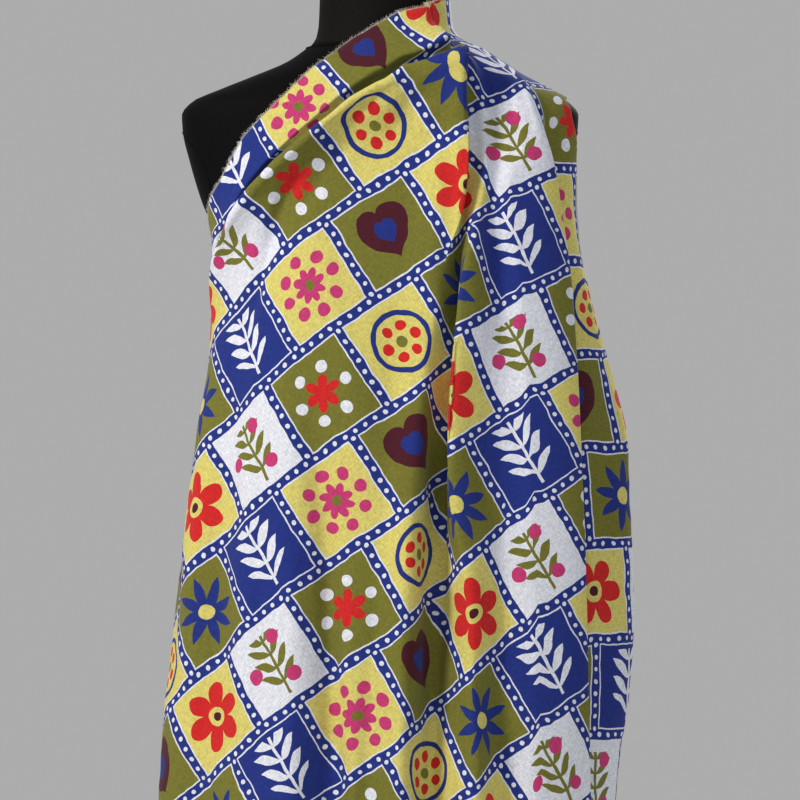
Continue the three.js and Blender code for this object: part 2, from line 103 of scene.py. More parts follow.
def setUpStage():
    eye = bpy.data.cameras.new("camera")
    eye.sensor_width = camera["sensor"]
    eye.lens = camera["sensor"] * camera["distance"] / camera["seen"]
    eyeObject = bpy.data.objects.new("camera", eye)
    aim = Vector(camera["aim"])
    eyeObject.location = aim - Vector((0, camera["distance"], 0))
    eyeObject.rotation_euler = (math.pi / 2, 0, 0)
    bpy.context.collection.objects.link(eyeObject)
    bpy.context.scene.camera = eyeObject
    for name in ("key", "fill", "back"):
        row = light[name]
        lamp = bpy.data.lights.new(name, "AREA")
        lamp.shape = "DISK"
        lamp.size = row["size"]
        lamp.energy = row["power"]
        lamp.color = linear(row["colour"])[:3]
        lampObject = bpy.data.objects.new(name, lamp)
        lampObject.location = row["at"]
        lampObject.rotation_euler = (aim - Vector(row["at"])).to_track_quat("-Z", "Y").to_euler()
        bpy.context.collection.objects.link(lampObject)
    world = bpy.data.worlds.new("studio")
    world.use_nodes = True
    sky = world.node_tree.nodes["Background"]
    sky.inputs["Color"].default_value = linear(light["world"])
    sky.inputs["Strength"].default_value = light["worldStrength"]
    bpy.context.scene.world = world
    bpy.context.scene.view_settings.view_transform = "Standard"
    bpy.context.scene.view_settings.exposure = light["exposure"]
    reach = light["floorReach"]
    corners = [(-reach, -reach, 0), (reach, -reach, 0), (reach, reach, 0), (-reach, reach, 0)]
    floorMesh = bpy.data.meshes.new("floor")
    floorMesh.from_pydata(corners, [], [(0, 1, 2, 3)])
    floor = bpy.data.objects.new("floor", floorMesh)
    bpy.context.collection.objects.link(floor)
    paint, _, _ = newMaterial("matt floor paint", light["floor"], light["floorRoughness"])
    floorMesh.materials.append(paint)


setUpStage()
print("camera, floor and light set")


# The drape's tables, in mm

formSections = [  # level cuts of the form: height, half breadth, front, back, power
    (830, 152, 104, 106, 2.3), (842, 160, 111, 114, 2.3), (920, 167, 115, 121, 2.3),
    (1000, 168, 116, 122, 2.3), (1090, 143, 106, 109, 2.3), (1170, 124, 98, 96, 2.3),
    (1230, 136, 111, 103, 2.3), (1300, 156, 125, 111, 2.3), (1360, 164, 114, 107, 2.35),
    (1400, 180, 104, 101, 2.4), (1440, 192, 94, 94, 2.5), (1470, 199, 90, 90, 2.5),
    (1487, 200, 88, 88, 2.5), (1500, 190, 86, 86, 2.5), (1512, 163, 83, 83, 2.45),
    (1526, 128, 79, 79, 2.35), (1540, 95, 73, 73, 2.2), (1556, 72, 68, 68, 2),
]
neckSections = [(1556, 71, 67, 67, 2), (1564, 65, 64, 64, 2), (1580, 62, 62, 62, 2), (1640, 60, 60, 60, 2)]
clothSections = [  # the level cuts that the cloth follows: height, left, right, front, back, power
    (180, 286, 205, 190, 168, 2.2), (400, 264, 215, 181, 157, 2.2), (800, 222, 235, 163, 140, 2.25),
    (1000, 202, 254, 153, 131, 2.3), (1150, 185, 247, 144, 120, 2.3), (1230, 172, 229, 139, 117, 2.3),
    (1300, 164, 212, 133, 117, 2.3), (1360, 168, 203, 121, 111, 2.35), (1400, 183, 200, 108, 104, 2.4),
    (1440, 195, 199, 98, 97, 2.5), (1470, 202, 202, 93, 93, 2.5), (1487, 203, 203, 91, 91, 2.5),
    (1500, 193, 192, 89, 89, 2.5), (1512, 167, 170, 87, 86, 2.45), (1526, 132, 143, 83, 82, 2.35),
    (1540, 99, 122, 78, 77, 2.25), (1552, 79, 104, 73, 72, 2.1), (1562, 68, 82, 68, 68, 2),
    (1576, 65, 72, 65, 65, 2), (1620, 64, 68, 64, 64, 2),
]
levels = [400, 800, 1000, 1150, 1300, 1400, 1450, 1490, 1520, 1560]
folds = [  # each fold's place at those levels, as x in mm or as turn in degrees, its relief, and its edges
    {"name": "free edge", "turn": [-13, -13, -13, -13, -13, -14, -15, -24, -9, -11],
     "out": [5, 4, 4, 5, 3, 2, 1.5, 1.5, 1, 1], "edges": (1606, 1498, 700, 40, 0), "columns": 8},
    {"name": "side panel", "turn": [-19, -19, -19, -19, -20, -23, -26, -31, -14.5, -20],
     "out": [13, 10, 9, 9, 6, 3, 2, 1, 1, 1], "edges": (1603, 1494, 665, 40, 0), "columns": 8},
    {"name": "knife pleat", "x": [192, 198, 196, 191, 182, 170, 164, 154, 141, 74],
     "out": [2] * 10, "edges": (1600, 1488, 610, 36, 0), "columns": 10},
    {"name": "centre fall", "x": [112, 118, 118, 117, 115, 110, 110, 109, 104, 63],
     "out": [-8, -5, -2, 0, 4, 6, 4, 3, 4, 3], "edges": (1597, 1482, 545, 34, 0.05), "columns": 11},
    {"name": "right lip", "x": [88, 90, 86, 64, 74, 98, 103, 101, 96, 60],
     "out": [18, 17, 17, 20, 20, 12, 6, 4, 5, 3], "edges": (1596, 1478, 508, 40, 0.2), "columns": 9},
    {"name": "main valley", "x": [44, 54, 62, 70, 80, 80, 78, 77, 76, 53],
     "out": [-28, -26, -24, -18, -7, -2, -1, 0, 0, 1], "edges": (1595, 1472, 482, 43, 0.35), "columns": 9},
    {"name": "left lip", "x": [6, 18, 24, 34, 54, 82, 85, 83, 80, 52],
     "out": [17, 17, 17, 14, 11, 19, 22, 22, 18, 9], "edges": (1591, 1465, 455, 46, 0.9), "columns": 10},
    {"name": "centre front", "x": [-30, -18, -8, 2, 14, 22, 24, 24, 22, 20],
     "out": [-10, -4, 2, 4, 3, 3, 3, 3, 3, 3], "edges": (1585, 1455, 428, 50, 1), "columns": 10},
    {"name": "small tuck", "x": [-62, -50, -50, -54, -48, -36, -32, -28, -24, -20],
     "out": [-18, -15, -10, -1, 2, 2, 2, 2, 2, 2], "edges": (1560, 1428, 400, 52, 1), "columns": 9},
    {"name": "left breast", "x": [-100, -86, -86, -90, -84, -72, -64, -60, -56, -50],
     "out": [12, 9, 7, 5, 4, 3, 3, 3, 3, 3], "edges": (1533, 1396, 366, 54, 1), "columns": 10},
    {"name": "left chest", "x": [-150, -126, -122, -120, -112, -103, -98, -94, -94, -94],
     "out": [2, 4, 4, 3, 2, 2, 2, 2, 2, 2], "edges": (1500, 1356, 322, 56, 1), "columns": 11},
    {"name": "left valley", "x": [-204, -174, -160, -149, -139, -135, -134, -134, -134, -134],
     "out": [-14, -11, -8, -5, 0, 0, 0, 0, 0, 0], "edges": (1460, 1310, 276, 62, 0.9), "columns": 9},
    {"name": "left ridge", "x": [-246, -208, -190, -174, -157, -156, -156, -156, -156, -156],
     "out": [10, 6, 5, 4, 3, 1, 1, 1, 1, 1], "edges": (1418, 1265, 240, 84, 0.4), "columns": 14},
    {"name": "left side", "turn": [-181, -180, -180, -180, -178, -176, -176, -176, -176, -176],
     "out": [0, 0, 0, 0, 1, 1, 1, 1, 1, 1], "edges": (1350, 1215, 218, 88, 0.1), "columns": 12},
    {"name": "back ridge by the arm", "turn": [-206, -204] + [-203] * 8,
     "out": [14, 10, 8, 5, 3, 1, 1, 1, 1, 1], "edges": (1338, 1200, 232, 88, 0), "columns": 11},
    {"name": "back valley", "turn": [-226, -225] + [-224] * 8,
     "out": [-14, -10, -6, -2, 1, 1, 1, 1, 1, 1], "edges": (1334, 1195, 262, 88, 0), "columns": 13},
    {"name": "centre back", "turn": [-252, -250] + [-249] * 8,
     "out": [16, 12, 8, 5, 3, 1, 1, 1, 1, 1], "edges": (1333, 1195, 300, 88, 0), "columns": 11},
    {"name": "right back valley", "turn": [-274, -272, -271] + [-270] * 7,
     "out": [-12, -8, -6, -2, 1, 1, 1, 1, 1, 1], "edges": (1335, 1197, 326, 88, 0), "columns": 11},
    {"name": "back end", "turn": [-298, -296, -294, -293] + [-292] * 6,
     "out": [10, 7, 5, 3, 2, 2, 2, 2, 2, 2], "edges": (1340, 1202, 344, 88, 0), "columns": 0},
]
flapFolds = [  # the corner behind the shoulder: angle high and low, relief, top, line
    {"turn": (50, 44), "out": 0.6, "top": 1532, "line": 1398},
    {"turn": (34, 31), "out": 4, "top": 1588, "line": 1440},
    {"turn": (18, 15), "out": 1.1, "top": 1607, "line": 1486},
    {"turn": (3, 3), "out": 0.8, "top": 1612, "line": 1510},
]
pleatLayers = [  # the knife pleat on a level cut: across in mm when closed, relief, angle when open
    (-33, -1, 4), (-40.5, 0.4, 2.8), (-42, 2.8, 1.8), (-39.5, 5.2, 0.9), (-21, 6.2, 0),
    (-3, 7.2, -0.9), (0, 9.8, -1.9), (-3, 12.2, -2.8), (-21, 13, -4.2), (-46, 11, -5.6),
]
upperRows = [  # the rows above the line: share when plain, then drop, tuck, skirt and relief of the roll
    (0, 0, 0, 0, 2), (0.06, 0.3, 0, 0, 5), (0.12, 0.62, 0, 0, 8), (0.17, 0.86, 0, 0, 10.5),
    (0.22, 1, 0, 0, 12), (0.26, 1, 0.08, 0, 6), (0.3, 1, 0.2, 0, 0.3), (0.34, 1, 0.62, 0, 0.3),
    (0.38, 1, 0.7, 0, 9), (0.42, 1, 0.68, 0, 19), (0.47, 1, 0.8, 0.02, 25), (0.53, 1, 1, 0.1, 25),
    (0.6, 1, 1, 0.22, 18.5), (0.72, 1, 1, 0.42, 10), (0.86, 1, 1, 0.7, 3.5), (1, 1, 1, 1, 0),
]
drape = {
    "seatLift": 0.5,  # how far the sheet's middle lies off the level cuts
    "neckRoot": 1560,  # above this height the folds keep the place that they have there
    "sideLimit": 0.9999,  # how near to the side of a cut a fold can come
    "pleatRise": (1540, 1470),  # where the knife pleat starts to stand out, and where it stands out in full
    "pleatLap": (1488, 1400),  # where its layers start to close, and where they are closed
    "tuckDepth": 18,  # how far the cloth goes down behind the roll at the neckline
    "flapHigh": 1600,  # the heights of the two angles in flapFolds
    "flapLow": 1420,
    "rowsInRoll": 46,
    "rowsUnderRoll": 18,
    "underRoll": 12,  # the row of upperRows from which the rows lie further apart
    "rowsBelow": 142,
    "rowPower": 1.12,  # over 1, so that the rows below the line lie closer near it
    "flapColumns": 7,
    "pleatSteps": 3,  # columns from each row of pleatLayers to the next
    "pleatInside": (2, 6),  # the rows of pleatLayers between which the cloth lies hidden
    "thickness": 0.6,
}


def alongTable(knots, values, at):
    # a smooth curve through a table's column, with no overshoot between its rows
    knots, values = np.asarray(knots, float), np.asarray(values, float)
    at = np.clip(at, knots[0], knots[-1])
    i = np.clip(np.searchsorted(knots, at, side="right") - 1, 0, len(knots) - 2)
    span = np.diff(knots)
    slope = np.diff(values) / span
    product = slope[:-1] * slope[1:]
    total = slope[:-1] + slope[1:]
    inner = np.where(product > 0, 2 * product / np.where(total == 0, 1, total), 0)
    tangent = np.concatenate([slope[:1], inner, slope[-1:]])
    t = (at - knots[i]) / span[i]
    u = 1 - t
    ends = values[i] * u * u * (1 + 2 * t) + values[i + 1] * t * t * (3 - 2 * t)
    return ends + span[i] * t * u * (tangent[i] * u - tangent[i + 1] * t)


def throughRows(rows, at):
    # a rounded curve through the rows of a table, at fractional row numbers
    rows = np.asarray(rows, float)
    slope = np.gradient(rows, axis=0)
    i = np.clip(np.floor(at).astype(int), 0, len(rows) - 2)
    t = (at - i)[:, None]
    a, b, ta, tb = rows[i], rows[i + 1], slope[i], slope[i + 1]
    return (a * (2 * t**3 - 3 * t**2 + 1) + b * (3 * t**2 - 2 * t**3)
            + ta * (t**3 - 2 * t**2 + t) + tb * (t**3 - t**2))


def ease(t):
    t = np.clip(t, 0, 1)
    return t * t * (3 - 2 * t)


def mix(a, b, t):
    return a + (b - a) * t


def levelCut(table, z):
    # a cut's reach to the left, right, front and back, and its power; a row of 5 is the same on both sides
    rows = np.array([(r[0], r[1], *r[1:]) if len(r) == 5 else r for r in table], float)
    return [alongTable(rows[:, 0], rows[:, k], z) for k in range(1, 6)]


def sectionPoint(table, turn, z):
    # a point of a level cut at an angle from +X, in degrees
    left, right, front, back, power = levelCut(table, z)
    turn = np.radians(turn)
    c, n = np.cos(turn), np.sin(turn)
    x = np.where(c < 0, -left, right) * np.abs(c) ** (2 / power)
    y = np.where(n < 0, -front, back) * np.abs(n) ** (2 / power)
    return np.stack([x, y, z + 0 * x], -1)


def turnAtX(x, z):
    # the angle at which the front of the cloth's cut is x mm to the side
    left, right, _, _, power = levelCut(clothSections, z)
    share = np.minimum(np.abs(x) / np.where(x < 0, left, right), drape["sideLimit"])
    angle = np.degrees(np.arccos(share ** (power / 2)))
    return np.where(x < 0, angle - 180, -angle)


def onCloth(turn, z, out):
    # the cloth's plain surface moved out along its own normal, which is found over half a mm and degree
    step = 0.5
    p = sectionPoint(clothSections, turn, z)
    along = sectionPoint(clothSections, turn - step, z) - sectionPoint(clothSections, turn + step, z)
    down = sectionPoint(clothSections, turn, z - step) - sectionPoint(clothSections, turn, z + step)
    normal = np.cross(along, down)
    normal /= np.linalg.norm(normal, axis=-1, keepdims=True)
    return p + normal * (np.asarray(out) + drape["seatLift"])[..., None]


def foldTurn(fold, z):
    if "turn" in fold:
        return alongTable(levels, fold["turn"], z)
    return turnAtX(alongTable(levels, fold["x"], z), np.minimum(z, drape["neckRoot"]))


def foldColumn(fold):
    # a column is its edges (top, line, hem, roll, rolled) and its angle and relief at a height
    edges = np.array(fold["edges"], float)
    return (edges, lambda z: foldTurn(fold, z), lambda z: alongTable(levels, fold["out"], z))


def between(a, b, t):
    edges = mix(a[0], b[0], t)
    return (edges, lambda z: mix(a[1](z), b[1](z), t), lambda z: mix(a[2](z), b[2](z), ease(t)))


def pleatColumn(fold, layer):
    across, out, turn = layer
    rise, lap = drape["pleatRise"], drape["pleatLap"]

    def turnAt(z):
        opened = foldTurn(fold, z) + turn
        closed = turnAtX(alongTable(levels, fold["x"], z) + across, np.minimum(z, drape["neckRoot"]))
        return mix(opened, closed, ease((lap[0] - z) / (lap[0] - lap[1])))

    def outAt(z):
        return alongTable(levels, fold["out"], z) + out * ease((rise[0] - z) / (rise[0] - rise[1]))

    return (np.array(fold["edges"], float), turnAt, outAt)


def longColumns():
    # every column from the free edge round the front to the back end
    last = len(pleatLayers) - 1
    layers = throughRows(pleatLayers, np.linspace(0, last, last * drape["pleatSteps"] + 1))
    marks = []
    for fold in folds:
        if fold["name"] == "knife pleat":
            marks.extend((pleatColumn(fold, layer), 1) for layer in layers[:-1])
            marks.append((pleatColumn(fold, layers[-1]), fold["columns"]))
        else:
            marks.append((foldColumn(fold), fold["columns"]))
    columns = []
    for (column, count), (following, _) in zip(marks, marks[1:]):
        columns.extend(between(column, following, k / count) for k in range(count))
    columns.append(marks[-1][0])
    return columns


def flapColumns(firstLong):
    high, low = drape["flapHigh"], drape["flapLow"]

    def asColumn(row):
        def turnAt(z):
            return mix(row["turn"][1], row["turn"][0], (z - low) / (high - low))
        return (np.array((row["top"], row["line"], 0, 0, 0), float), turnAt, lambda z: row["out"] + 0 * z)

    marks = [asColumn(row) for row in flapFolds] + [firstLong]
    count = drape["flapColumns"]
    return [between(a, b, k / count) for a, b in zip(marks, marks[1:]) for k in range(count)]


def sheetGrid():
    # the sheet's middle surface: points[column][row] in mm, with the flap's columns short
    inRoll = np.linspace(0, drape["underRoll"], drape["rowsInRoll"], endpoint=False)
    underRoll = np.linspace(drape["underRoll"], len(upperRows) - 1, drape["rowsUnderRoll"])
    bent = throughRows(upperRows, np.concatenate([inRoll, underRoll]))
    share, drop, tuck, skirt, relief = bent.T
    below = (np.arange(1, drape["rowsBelow"] + 1) / drape["rowsBelow"]) ** drape["rowPower"]
    long = longColumns()
    short = flapColumns(long[0])
    points = np.full((len(short) + len(long), len(bent) + len(below), 3), np.nan)
    for i, (edges, turnAt, outAt) in enumerate(short + long):
        top, line, hem, roll, rolled = edges
        crest = top - roll
        under = crest - drape["tuckDepth"] - line
        plainZ = top - share * (top - line)
        rolledZ = crest + (1 - drop) * roll - tuck * drape["tuckDepth"] - skirt * under
        z = mix(plainZ, rolledZ, rolled)
        out = outAt(z) + relief * rolled
        if i >= len(short):
            lower = mix(line, hem, below)
            z = np.concatenate([z, lower])
            out = np.concatenate([out, outAt(lower)])
        points[i, :len(z)] = onCloth(turnAt(z), z, out)
    return points, len(short), len(bent)


points, shortCount, upperCount = sheetGrid()
print("drape laid out:", points.shape[0], "columns,", points.shape[1], "rows")


# The flat cut: the sheet is unrolled by easing its edges to their own lengths

flatCut = {
    "every": 4,  # every fourth column and row is unrolled, and the others lie between them
    "rounds": 3200,
    "straighten": 0.7,  # the share of the rounds in which the lengths go over to the true ones
    "diagonal": 0.5,  # how stiff the diagonals are beside the columns and rows
    "keep": 0.985,  # the share of the speed that is left after a round
    "push": 0.12,
    "move": 0.5,
    "openRows": (20, 74),  # the rows in which the knife pleat is open
    "levelColumns": (5, -40),  # from the free edge and back from the end: they are level on the print
}


def unrolled(grid):
    # flat places in mm for a full grid of columns and rows, by dynamic relaxation on every few lines
    pickC = np.unique(np.append(np.arange(0, grid.shape[0], flatCut["every"]), grid.shape[0] - 1))
    pickR = np.unique(np.append(np.arange(0, grid.shape[1], flatCut["every"]), grid.shape[1] - 1))
    across = np.linalg.norm(np.diff(grid, axis=0), axis=-1)
    down = np.linalg.norm(np.diff(grid, axis=1), axis=-1)
    acrossSum = np.concatenate([np.zeros((1, grid.shape[1])), np.cumsum(across, 0)])
    downSum = np.concatenate([np.zeros((grid.shape[0], 1)), np.cumsum(down, 1)], 1)
    lengthC = np.diff(acrossSum[pickC][:, pickR], axis=0)
    lengthR = np.diff(downSum[pickC][:, pickR], axis=1)
    # the angle between the lines, from their directions on the sheet
    alongC = np.gradient(grid, axis=0)[pickC][:, pickR]
    alongR = np.gradient(grid, axis=1)[pickC][:, pickR]
    alongC /= np.linalg.norm(alongC, axis=-1, keepdims=True)
    alongR /= np.linalg.norm(alongR, axis=-1, keepdims=True)
    lean = (alongC * alongR).sum(-1)
    lean = (lean[:-1, :-1] + lean[1:, :-1] + lean[:-1, 1:] + lean[1:, 1:]) / 4
    sideC = (lengthC[:, :-1] + lengthC[:, 1:]) / 2
    sideR = (lengthR[:-1] + lengthR[1:]) / 2
    diagonalA = np.sqrt(np.maximum(sideC**2 + sideR**2 + 2 * sideC * sideR * lean, least))
    diagonalB = np.sqrt(np.maximum(sideC**2 + sideR**2 - 2 * sideC * sideR * lean, least))
    down = downSum[pickC][:, pickR]
    flat = np.stack([acrossSum[pickC].mean(1)[:, None] + 0 * down, down], -1)
    springs = [
        (np.s_[:-1, :], np.s_[1:, :], lengthC, 1.0),
        (np.s_[:, :-1], np.s_[:, 1:], lengthR, 1.0),
        (np.s_[:-1, :-1], np.s_[1:, 1:], diagonalA, flatCut["diagonal"]),
        (np.s_[1:, :-1], np.s_[:-1, 1:], diagonalB, flatCut["diagonal"]),
    ]
    atStart = [np.linalg.norm(flat[b] - flat[a], axis=-1) for a, b, _, _ in springs]
    speed = np.zeros_like(flat)
    for k in range(flatCut["rounds"]):
        # the lengths go over from those of the straight start to the true ones, so that nothing buckles
        arrived = ease(k / (flatCut["straighten"] * flatCut["rounds"]))
        push = np.zeros_like(flat)
        for (a, b, rest, weight), first in zip(springs, atStart):
            gap = flat[b] - flat[a]
            size = np.linalg.norm(gap, axis=-1, keepdims=True)
            pull = weight * gap * (1 - mix(first, rest, arrived)[..., None] / np.maximum(size, least))
            push[a] += pull
            push[b] -= pull
        speed = flatCut["keep"] * speed + flatCut["push"] * push
        flat += speed * flatCut["move"]
    # back to every column and row
    full = np.empty((grid.shape[0], len(pickR), 2))
    for k in range(2):
        for r in range(len(pickR)):
            full[:, r, k] = np.interp(acrossSum[:, pickR[r]], acrossSum[pickC, pickR[r]], flat[:, r, k])
    whole = np.empty((*grid.shape[:2], 2))
    for k in range(2):
        for c in range(grid.shape[0]):
            whole[c, :, k] = np.interp(downSum[c], downSum[c, pickR], full[c, :, k])
    return whole


def carriedOn(piece, fixed, at, beside):
    # the flat part that meets another: turned and moved so that its row ends lie beside the other's
    a = piece - piece.mean(0)
    b = at - at.mean(0)
    turn = math.atan2((a[:, 0] * b[:, 1] - a[:, 1] * b[:, 0]).sum(), (a * b).sum())
    spin = np.array([[math.cos(turn), math.sin(turn)], [-math.sin(turn), math.cos(turn)]])
    return (fixed - piece.mean(0)) @ spin + at.mean(0) + beside


def flatSheet():
    # The part left of the pleat's outer fold and the part right of its inner fold are unrolled on
    # their own, set side by side where the pleat is open, and the layer hidden between is eased in.
    flat = np.full((*points.shape[:2], 2), np.nan)
    inner, outer = [firstPleat + row * drape["pleatSteps"] for row in drape["pleatInside"]]
    left = unrolled(points[outer:])
    right = unrolled(points[shortCount:inner + 1])
    openRows = slice(*flatCut["openRows"])
    apart = np.linalg.norm(np.diff(points[inner:outer + 1, openRows], axis=0), axis=-1).sum(0).mean()
    ahead = left[1, openRows].mean(0) - left[0, openRows].mean(0)
    ahead /= np.linalg.norm(ahead)
    right = carriedOn(right[-1, openRows], right, left[0, openRows], -ahead * apart)
    flat[outer:] = left
    flat[shortCount:inner + 1] = right
    for k in range(inner + 1, outer):
        flat[k] = mix(right[-1], left[0], (k - inner) / (outer - inner))
    # the flap's short columns go on from the free edge, row by row
    edge = flat[shortCount, :upperCount]
    away = edge - flat[shortCount + 1, :upperCount]
    away /= np.linalg.norm(away, axis=-1, keepdims=True)
    across = np.linalg.norm(np.diff(points[:shortCount + 1, :upperCount], axis=0), axis=-1)
    reach = np.cumsum(across[::-1], 0)[::-1]
    away = away.mean(0) / np.linalg.norm(away.mean(0))
    flat[:shortCount, :upperCount] = edge[None] + away * reach[..., None]
    return flat


firstPleat = shortCount + folds[0]["columns"] + folds[1]["columns"]
flat = flatSheet()
start, end = flatCut["levelColumns"]
topEdge = flat[shortCount + start:end, 0]
tilt = math.atan2(topEdge[-1, 1] - topEdge[0, 1], topEdge[-1, 0] - topEdge[0, 0])
spin = np.array([[math.cos(tilt), -math.sin(tilt)], [math.sin(tilt), math.cos(tilt)]])
flat = (flat - topEdge[0]) @ spin
span = [np.nanmin(flat, axis=(0, 1)), np.nanmax(flat, axis=(0, 1))]
print("unrolled cut, mm:", np.round(span[1] - span[0]))


# Creases, placed on the drape

creases = [  # from the shoulder down: x and z along each, width, depth (less than 0 is a ridge), on the front
    {"path": [(50, 1528), (20, 1512), (-12, 1492), (-42, 1468), (-66, 1440)], "width": 8, "depth": 7},
    {"path": [(-58, 1452), (-82, 1420), (-98, 1385), (-112, 1345), (-126, 1300), (-136, 1260)],
     "width": 8, "depth": 8},
    {"path": [(-20, 1465), (-48, 1436), (-70, 1404), (-86, 1364)], "width": 9, "depth": 4},
    {"path": [(76, 1548), (58, 1520), (34, 1490), (12, 1462), (-10, 1436)], "width": 12, "depth": 4},
    {"path": [(80, 1546), (72, 1516), (60, 1482), (48, 1450), (30, 1410)], "width": 10, "depth": 3.5},
    {"path": [(84, 1540), (92, 1500), (94, 1450), (90, 1400)], "width": 7, "depth": 4},
    {"path": [(92, 1545), (104, 1515), (112, 1480), (117, 1440), (116, 1390)], "width": 7, "depth": 6},
    {"path": [(104, 1538), (122, 1508), (133, 1470), (140, 1420), (142, 1350)], "width": 8, "depth": 5},
    {"path": [(58, 1492), (68, 1450), (70, 1400), (66, 1350), (58, 1290)], "width": 8, "depth": 6},
    {"path": [(74, 1350), (68, 1290), (62, 1230), (57, 1160), (54, 1080), (50, 940), (46, 780)],
     "width": 9, "depth": 6},
    {"path": [(96, 1300), (112, 1240), (118, 1170), (116, 1080), (112, 980)], "width": 16, "depth": -3},
    {"path": [(20, 1280), (8, 1200), (2, 1110), (4, 1020)], "width": 20, "depth": 3},
    {"path": [(-70, 1190), (-56, 1100), (-49, 1010), (-46, 900), (-46, 780), (-50, 640)],
     "width": 9, "depth": 6.5},
    {"path": [(-30, 1060), (-28, 960), (-26, 860), (-24, 760)], "width": 10, "depth": -4},
    {"path": [(-140, 1250), (-150, 1170), (-158, 1060), (-166, 940), (-172, 840)], "width": 15, "depth": 5.5},
    {"path": [(-120, 1130), (-118, 1030), (-122, 920), (-128, 800)], "width": 20, "depth": 3.5},
    {"path": [(-176, 1200), (-182, 1100), (-192, 980)], "width": 12, "depth": -3},
    {"path": [(20, 1000), (10, 900), (0, 780), (-10, 640)], "width": 22, "depth": 5},
    {"path": [(150, 1180), (158, 1080), (162, 960), (158, 820)], "width": 16, "depth": 4},
    {"path": [(176, 1400), (186, 1300), (192, 1200), (196, 1080)], "width": 9, "depth": 2.5},
    {"path": [(222, 1240), (226, 1120), (224, 1000), (220, 860)], "width": 10, "depth": 3},
    {"path": [(240, 1100), (242, 980), (238, 860)], "width": 7, "depth": -2.5},
]
backCreases = [
    {"path": [(-160, 1290), (-150, 1180), (-152, 1040), (-160, 880)], "width": 18, "depth": 4},
    {"path": [(-110, 1310), (-104, 1200), (-96, 1060), (-92, 900)], "width": 14, "depth": -3},
    {"path": [(-40, 1300), (-30, 1190), (-34, 1060), (-44, 920), (-50, 760)], "width": 17, "depth": 4.5},
    {"path": [(10, 1310), (18, 1180), (14, 1020)], "width": 12, "depth": 3},
    {"path": [(48, 1300), (50, 1190), (60, 1060), (70, 900), (76, 760)], "width": 15, "depth": 4},
    {"path": [(150, 1540), (152, 1500), (156, 1460)], "width": 9, "depth": 2},
]
unevenness = {
    "pathSteps": 24,  # the straight steps that a crease is rounded into
    "ends": 0.02,  # the share of its length at each end in which it fades no further
    "endPower": 0.7,
    "seed": 11,
    "waves": ((150, 1.6, 5), (70, 1.0, 7), (32, 0.45, 10)),  # length and height in mm, and how many
    "lengths": (0.75, 1.3),  # how far each one's length strays
    "upright": 0.7,  # the share of the waves that run nearly down the sheet
    "uprightLean": (-28, 28),  # degrees, for those and for the others
    "otherLean": (40, 140),
    "bend": 0.5,  # how far a wave winds, and over how many mm
    "bendLength": (90, 160),
    "deepest": 8.5,  # mm that creases can reach where they meet
    "creasesInRoll": 0.85,  # what the roll at the neckline keeps of the creases, and of the waves
    "wavesInRoll": 0.35,
    "rollEnds": (-6, 24),  # rows from the line between which both come back
    "inFlap": 0.3,  # what the corner behind the shoulder keeps of both
    "inPleat": 0.1,  # what the knife pleat keeps, and the columns beside it in which they come back
    "besidePleat": 6,
    "clear": 1.0,  # mm from the form's skin to the sheet's middle
}


def sheetNormals(grid):
    # normals from the neighbours that exist, and from the nearest ones at the edges
    across = np.empty_like(grid)
    down = np.empty_like(grid)
    across[1:-1] = grid[2:] - grid[:-2]
    across[0], across[-1] = grid[1] - grid[0], grid[-1] - grid[-2]
    down[:, 1:-1] = grid[:, 2:] - grid[:, :-2]
    down[:, 0], down[:, -1] = grid[:, 1] - grid[:, 0], grid[:, -1] - grid[:, -2]
    oneSided = np.isnan(across) & ~np.isnan(grid)
    forward = np.full_like(grid, np.nan)
    forward[:-1] = grid[1:] - grid[:-1]
    across[oneSided] = forward[oneSided]
    oneSided = np.isnan(down) & ~np.isnan(grid)
    upward = np.full_like(grid, np.nan)
    upward[:, 1:] = grid[:, 1:] - grid[:, :-1]
    down[oneSided] = upward[oneSided]
    normal = np.cross(across, down)
    return normal / np.maximum(np.linalg.norm(normal, axis=-1, keepdims=True), least)


def creaseRelief(grid, rows, front):
    # how deep each point of the sheet lies in the creases, tapered at both ends of each
    relief = np.zeros(grid.shape[:2])
    side = grid[..., 1] < 0 if front else grid[..., 1] > 0
    place = grid[..., [0, 2]]
    for crease in rows:
        path = throughRows(crease["path"], np.linspace(0, len(crease["path"]) - 1, unevenness["pathSteps"]))
        along = np.concatenate([[0], np.cumsum(np.linalg.norm(np.diff(path, axis=0), axis=1))])
        best = np.full(relief.shape, np.inf)
        where = np.zeros(relief.shape)
        for k in range(len(path) - 1):
            edge = path[k + 1] - path[k]
            t = np.clip(((place - path[k]) @ edge) / (edge @ edge), 0, 1)
            gap = np.linalg.norm(place - path[k] - t[..., None] * edge, axis=-1)
            closer = gap < best
            best = np.where(closer, gap, best)
            where = np.where(closer, (along[k] + t * (along[k + 1] - along[k])) / along[-1], where)
        kept = np.clip(where, unevenness["ends"], 1 - unevenness["ends"])
        taper = np.sin(np.pi * kept) ** unevenness["endPower"]
        fall = np.exp(-(best / crease["width"]) ** 2)
        relief += np.where(side, crease["depth"] * taper * fall, 0)
    return relief


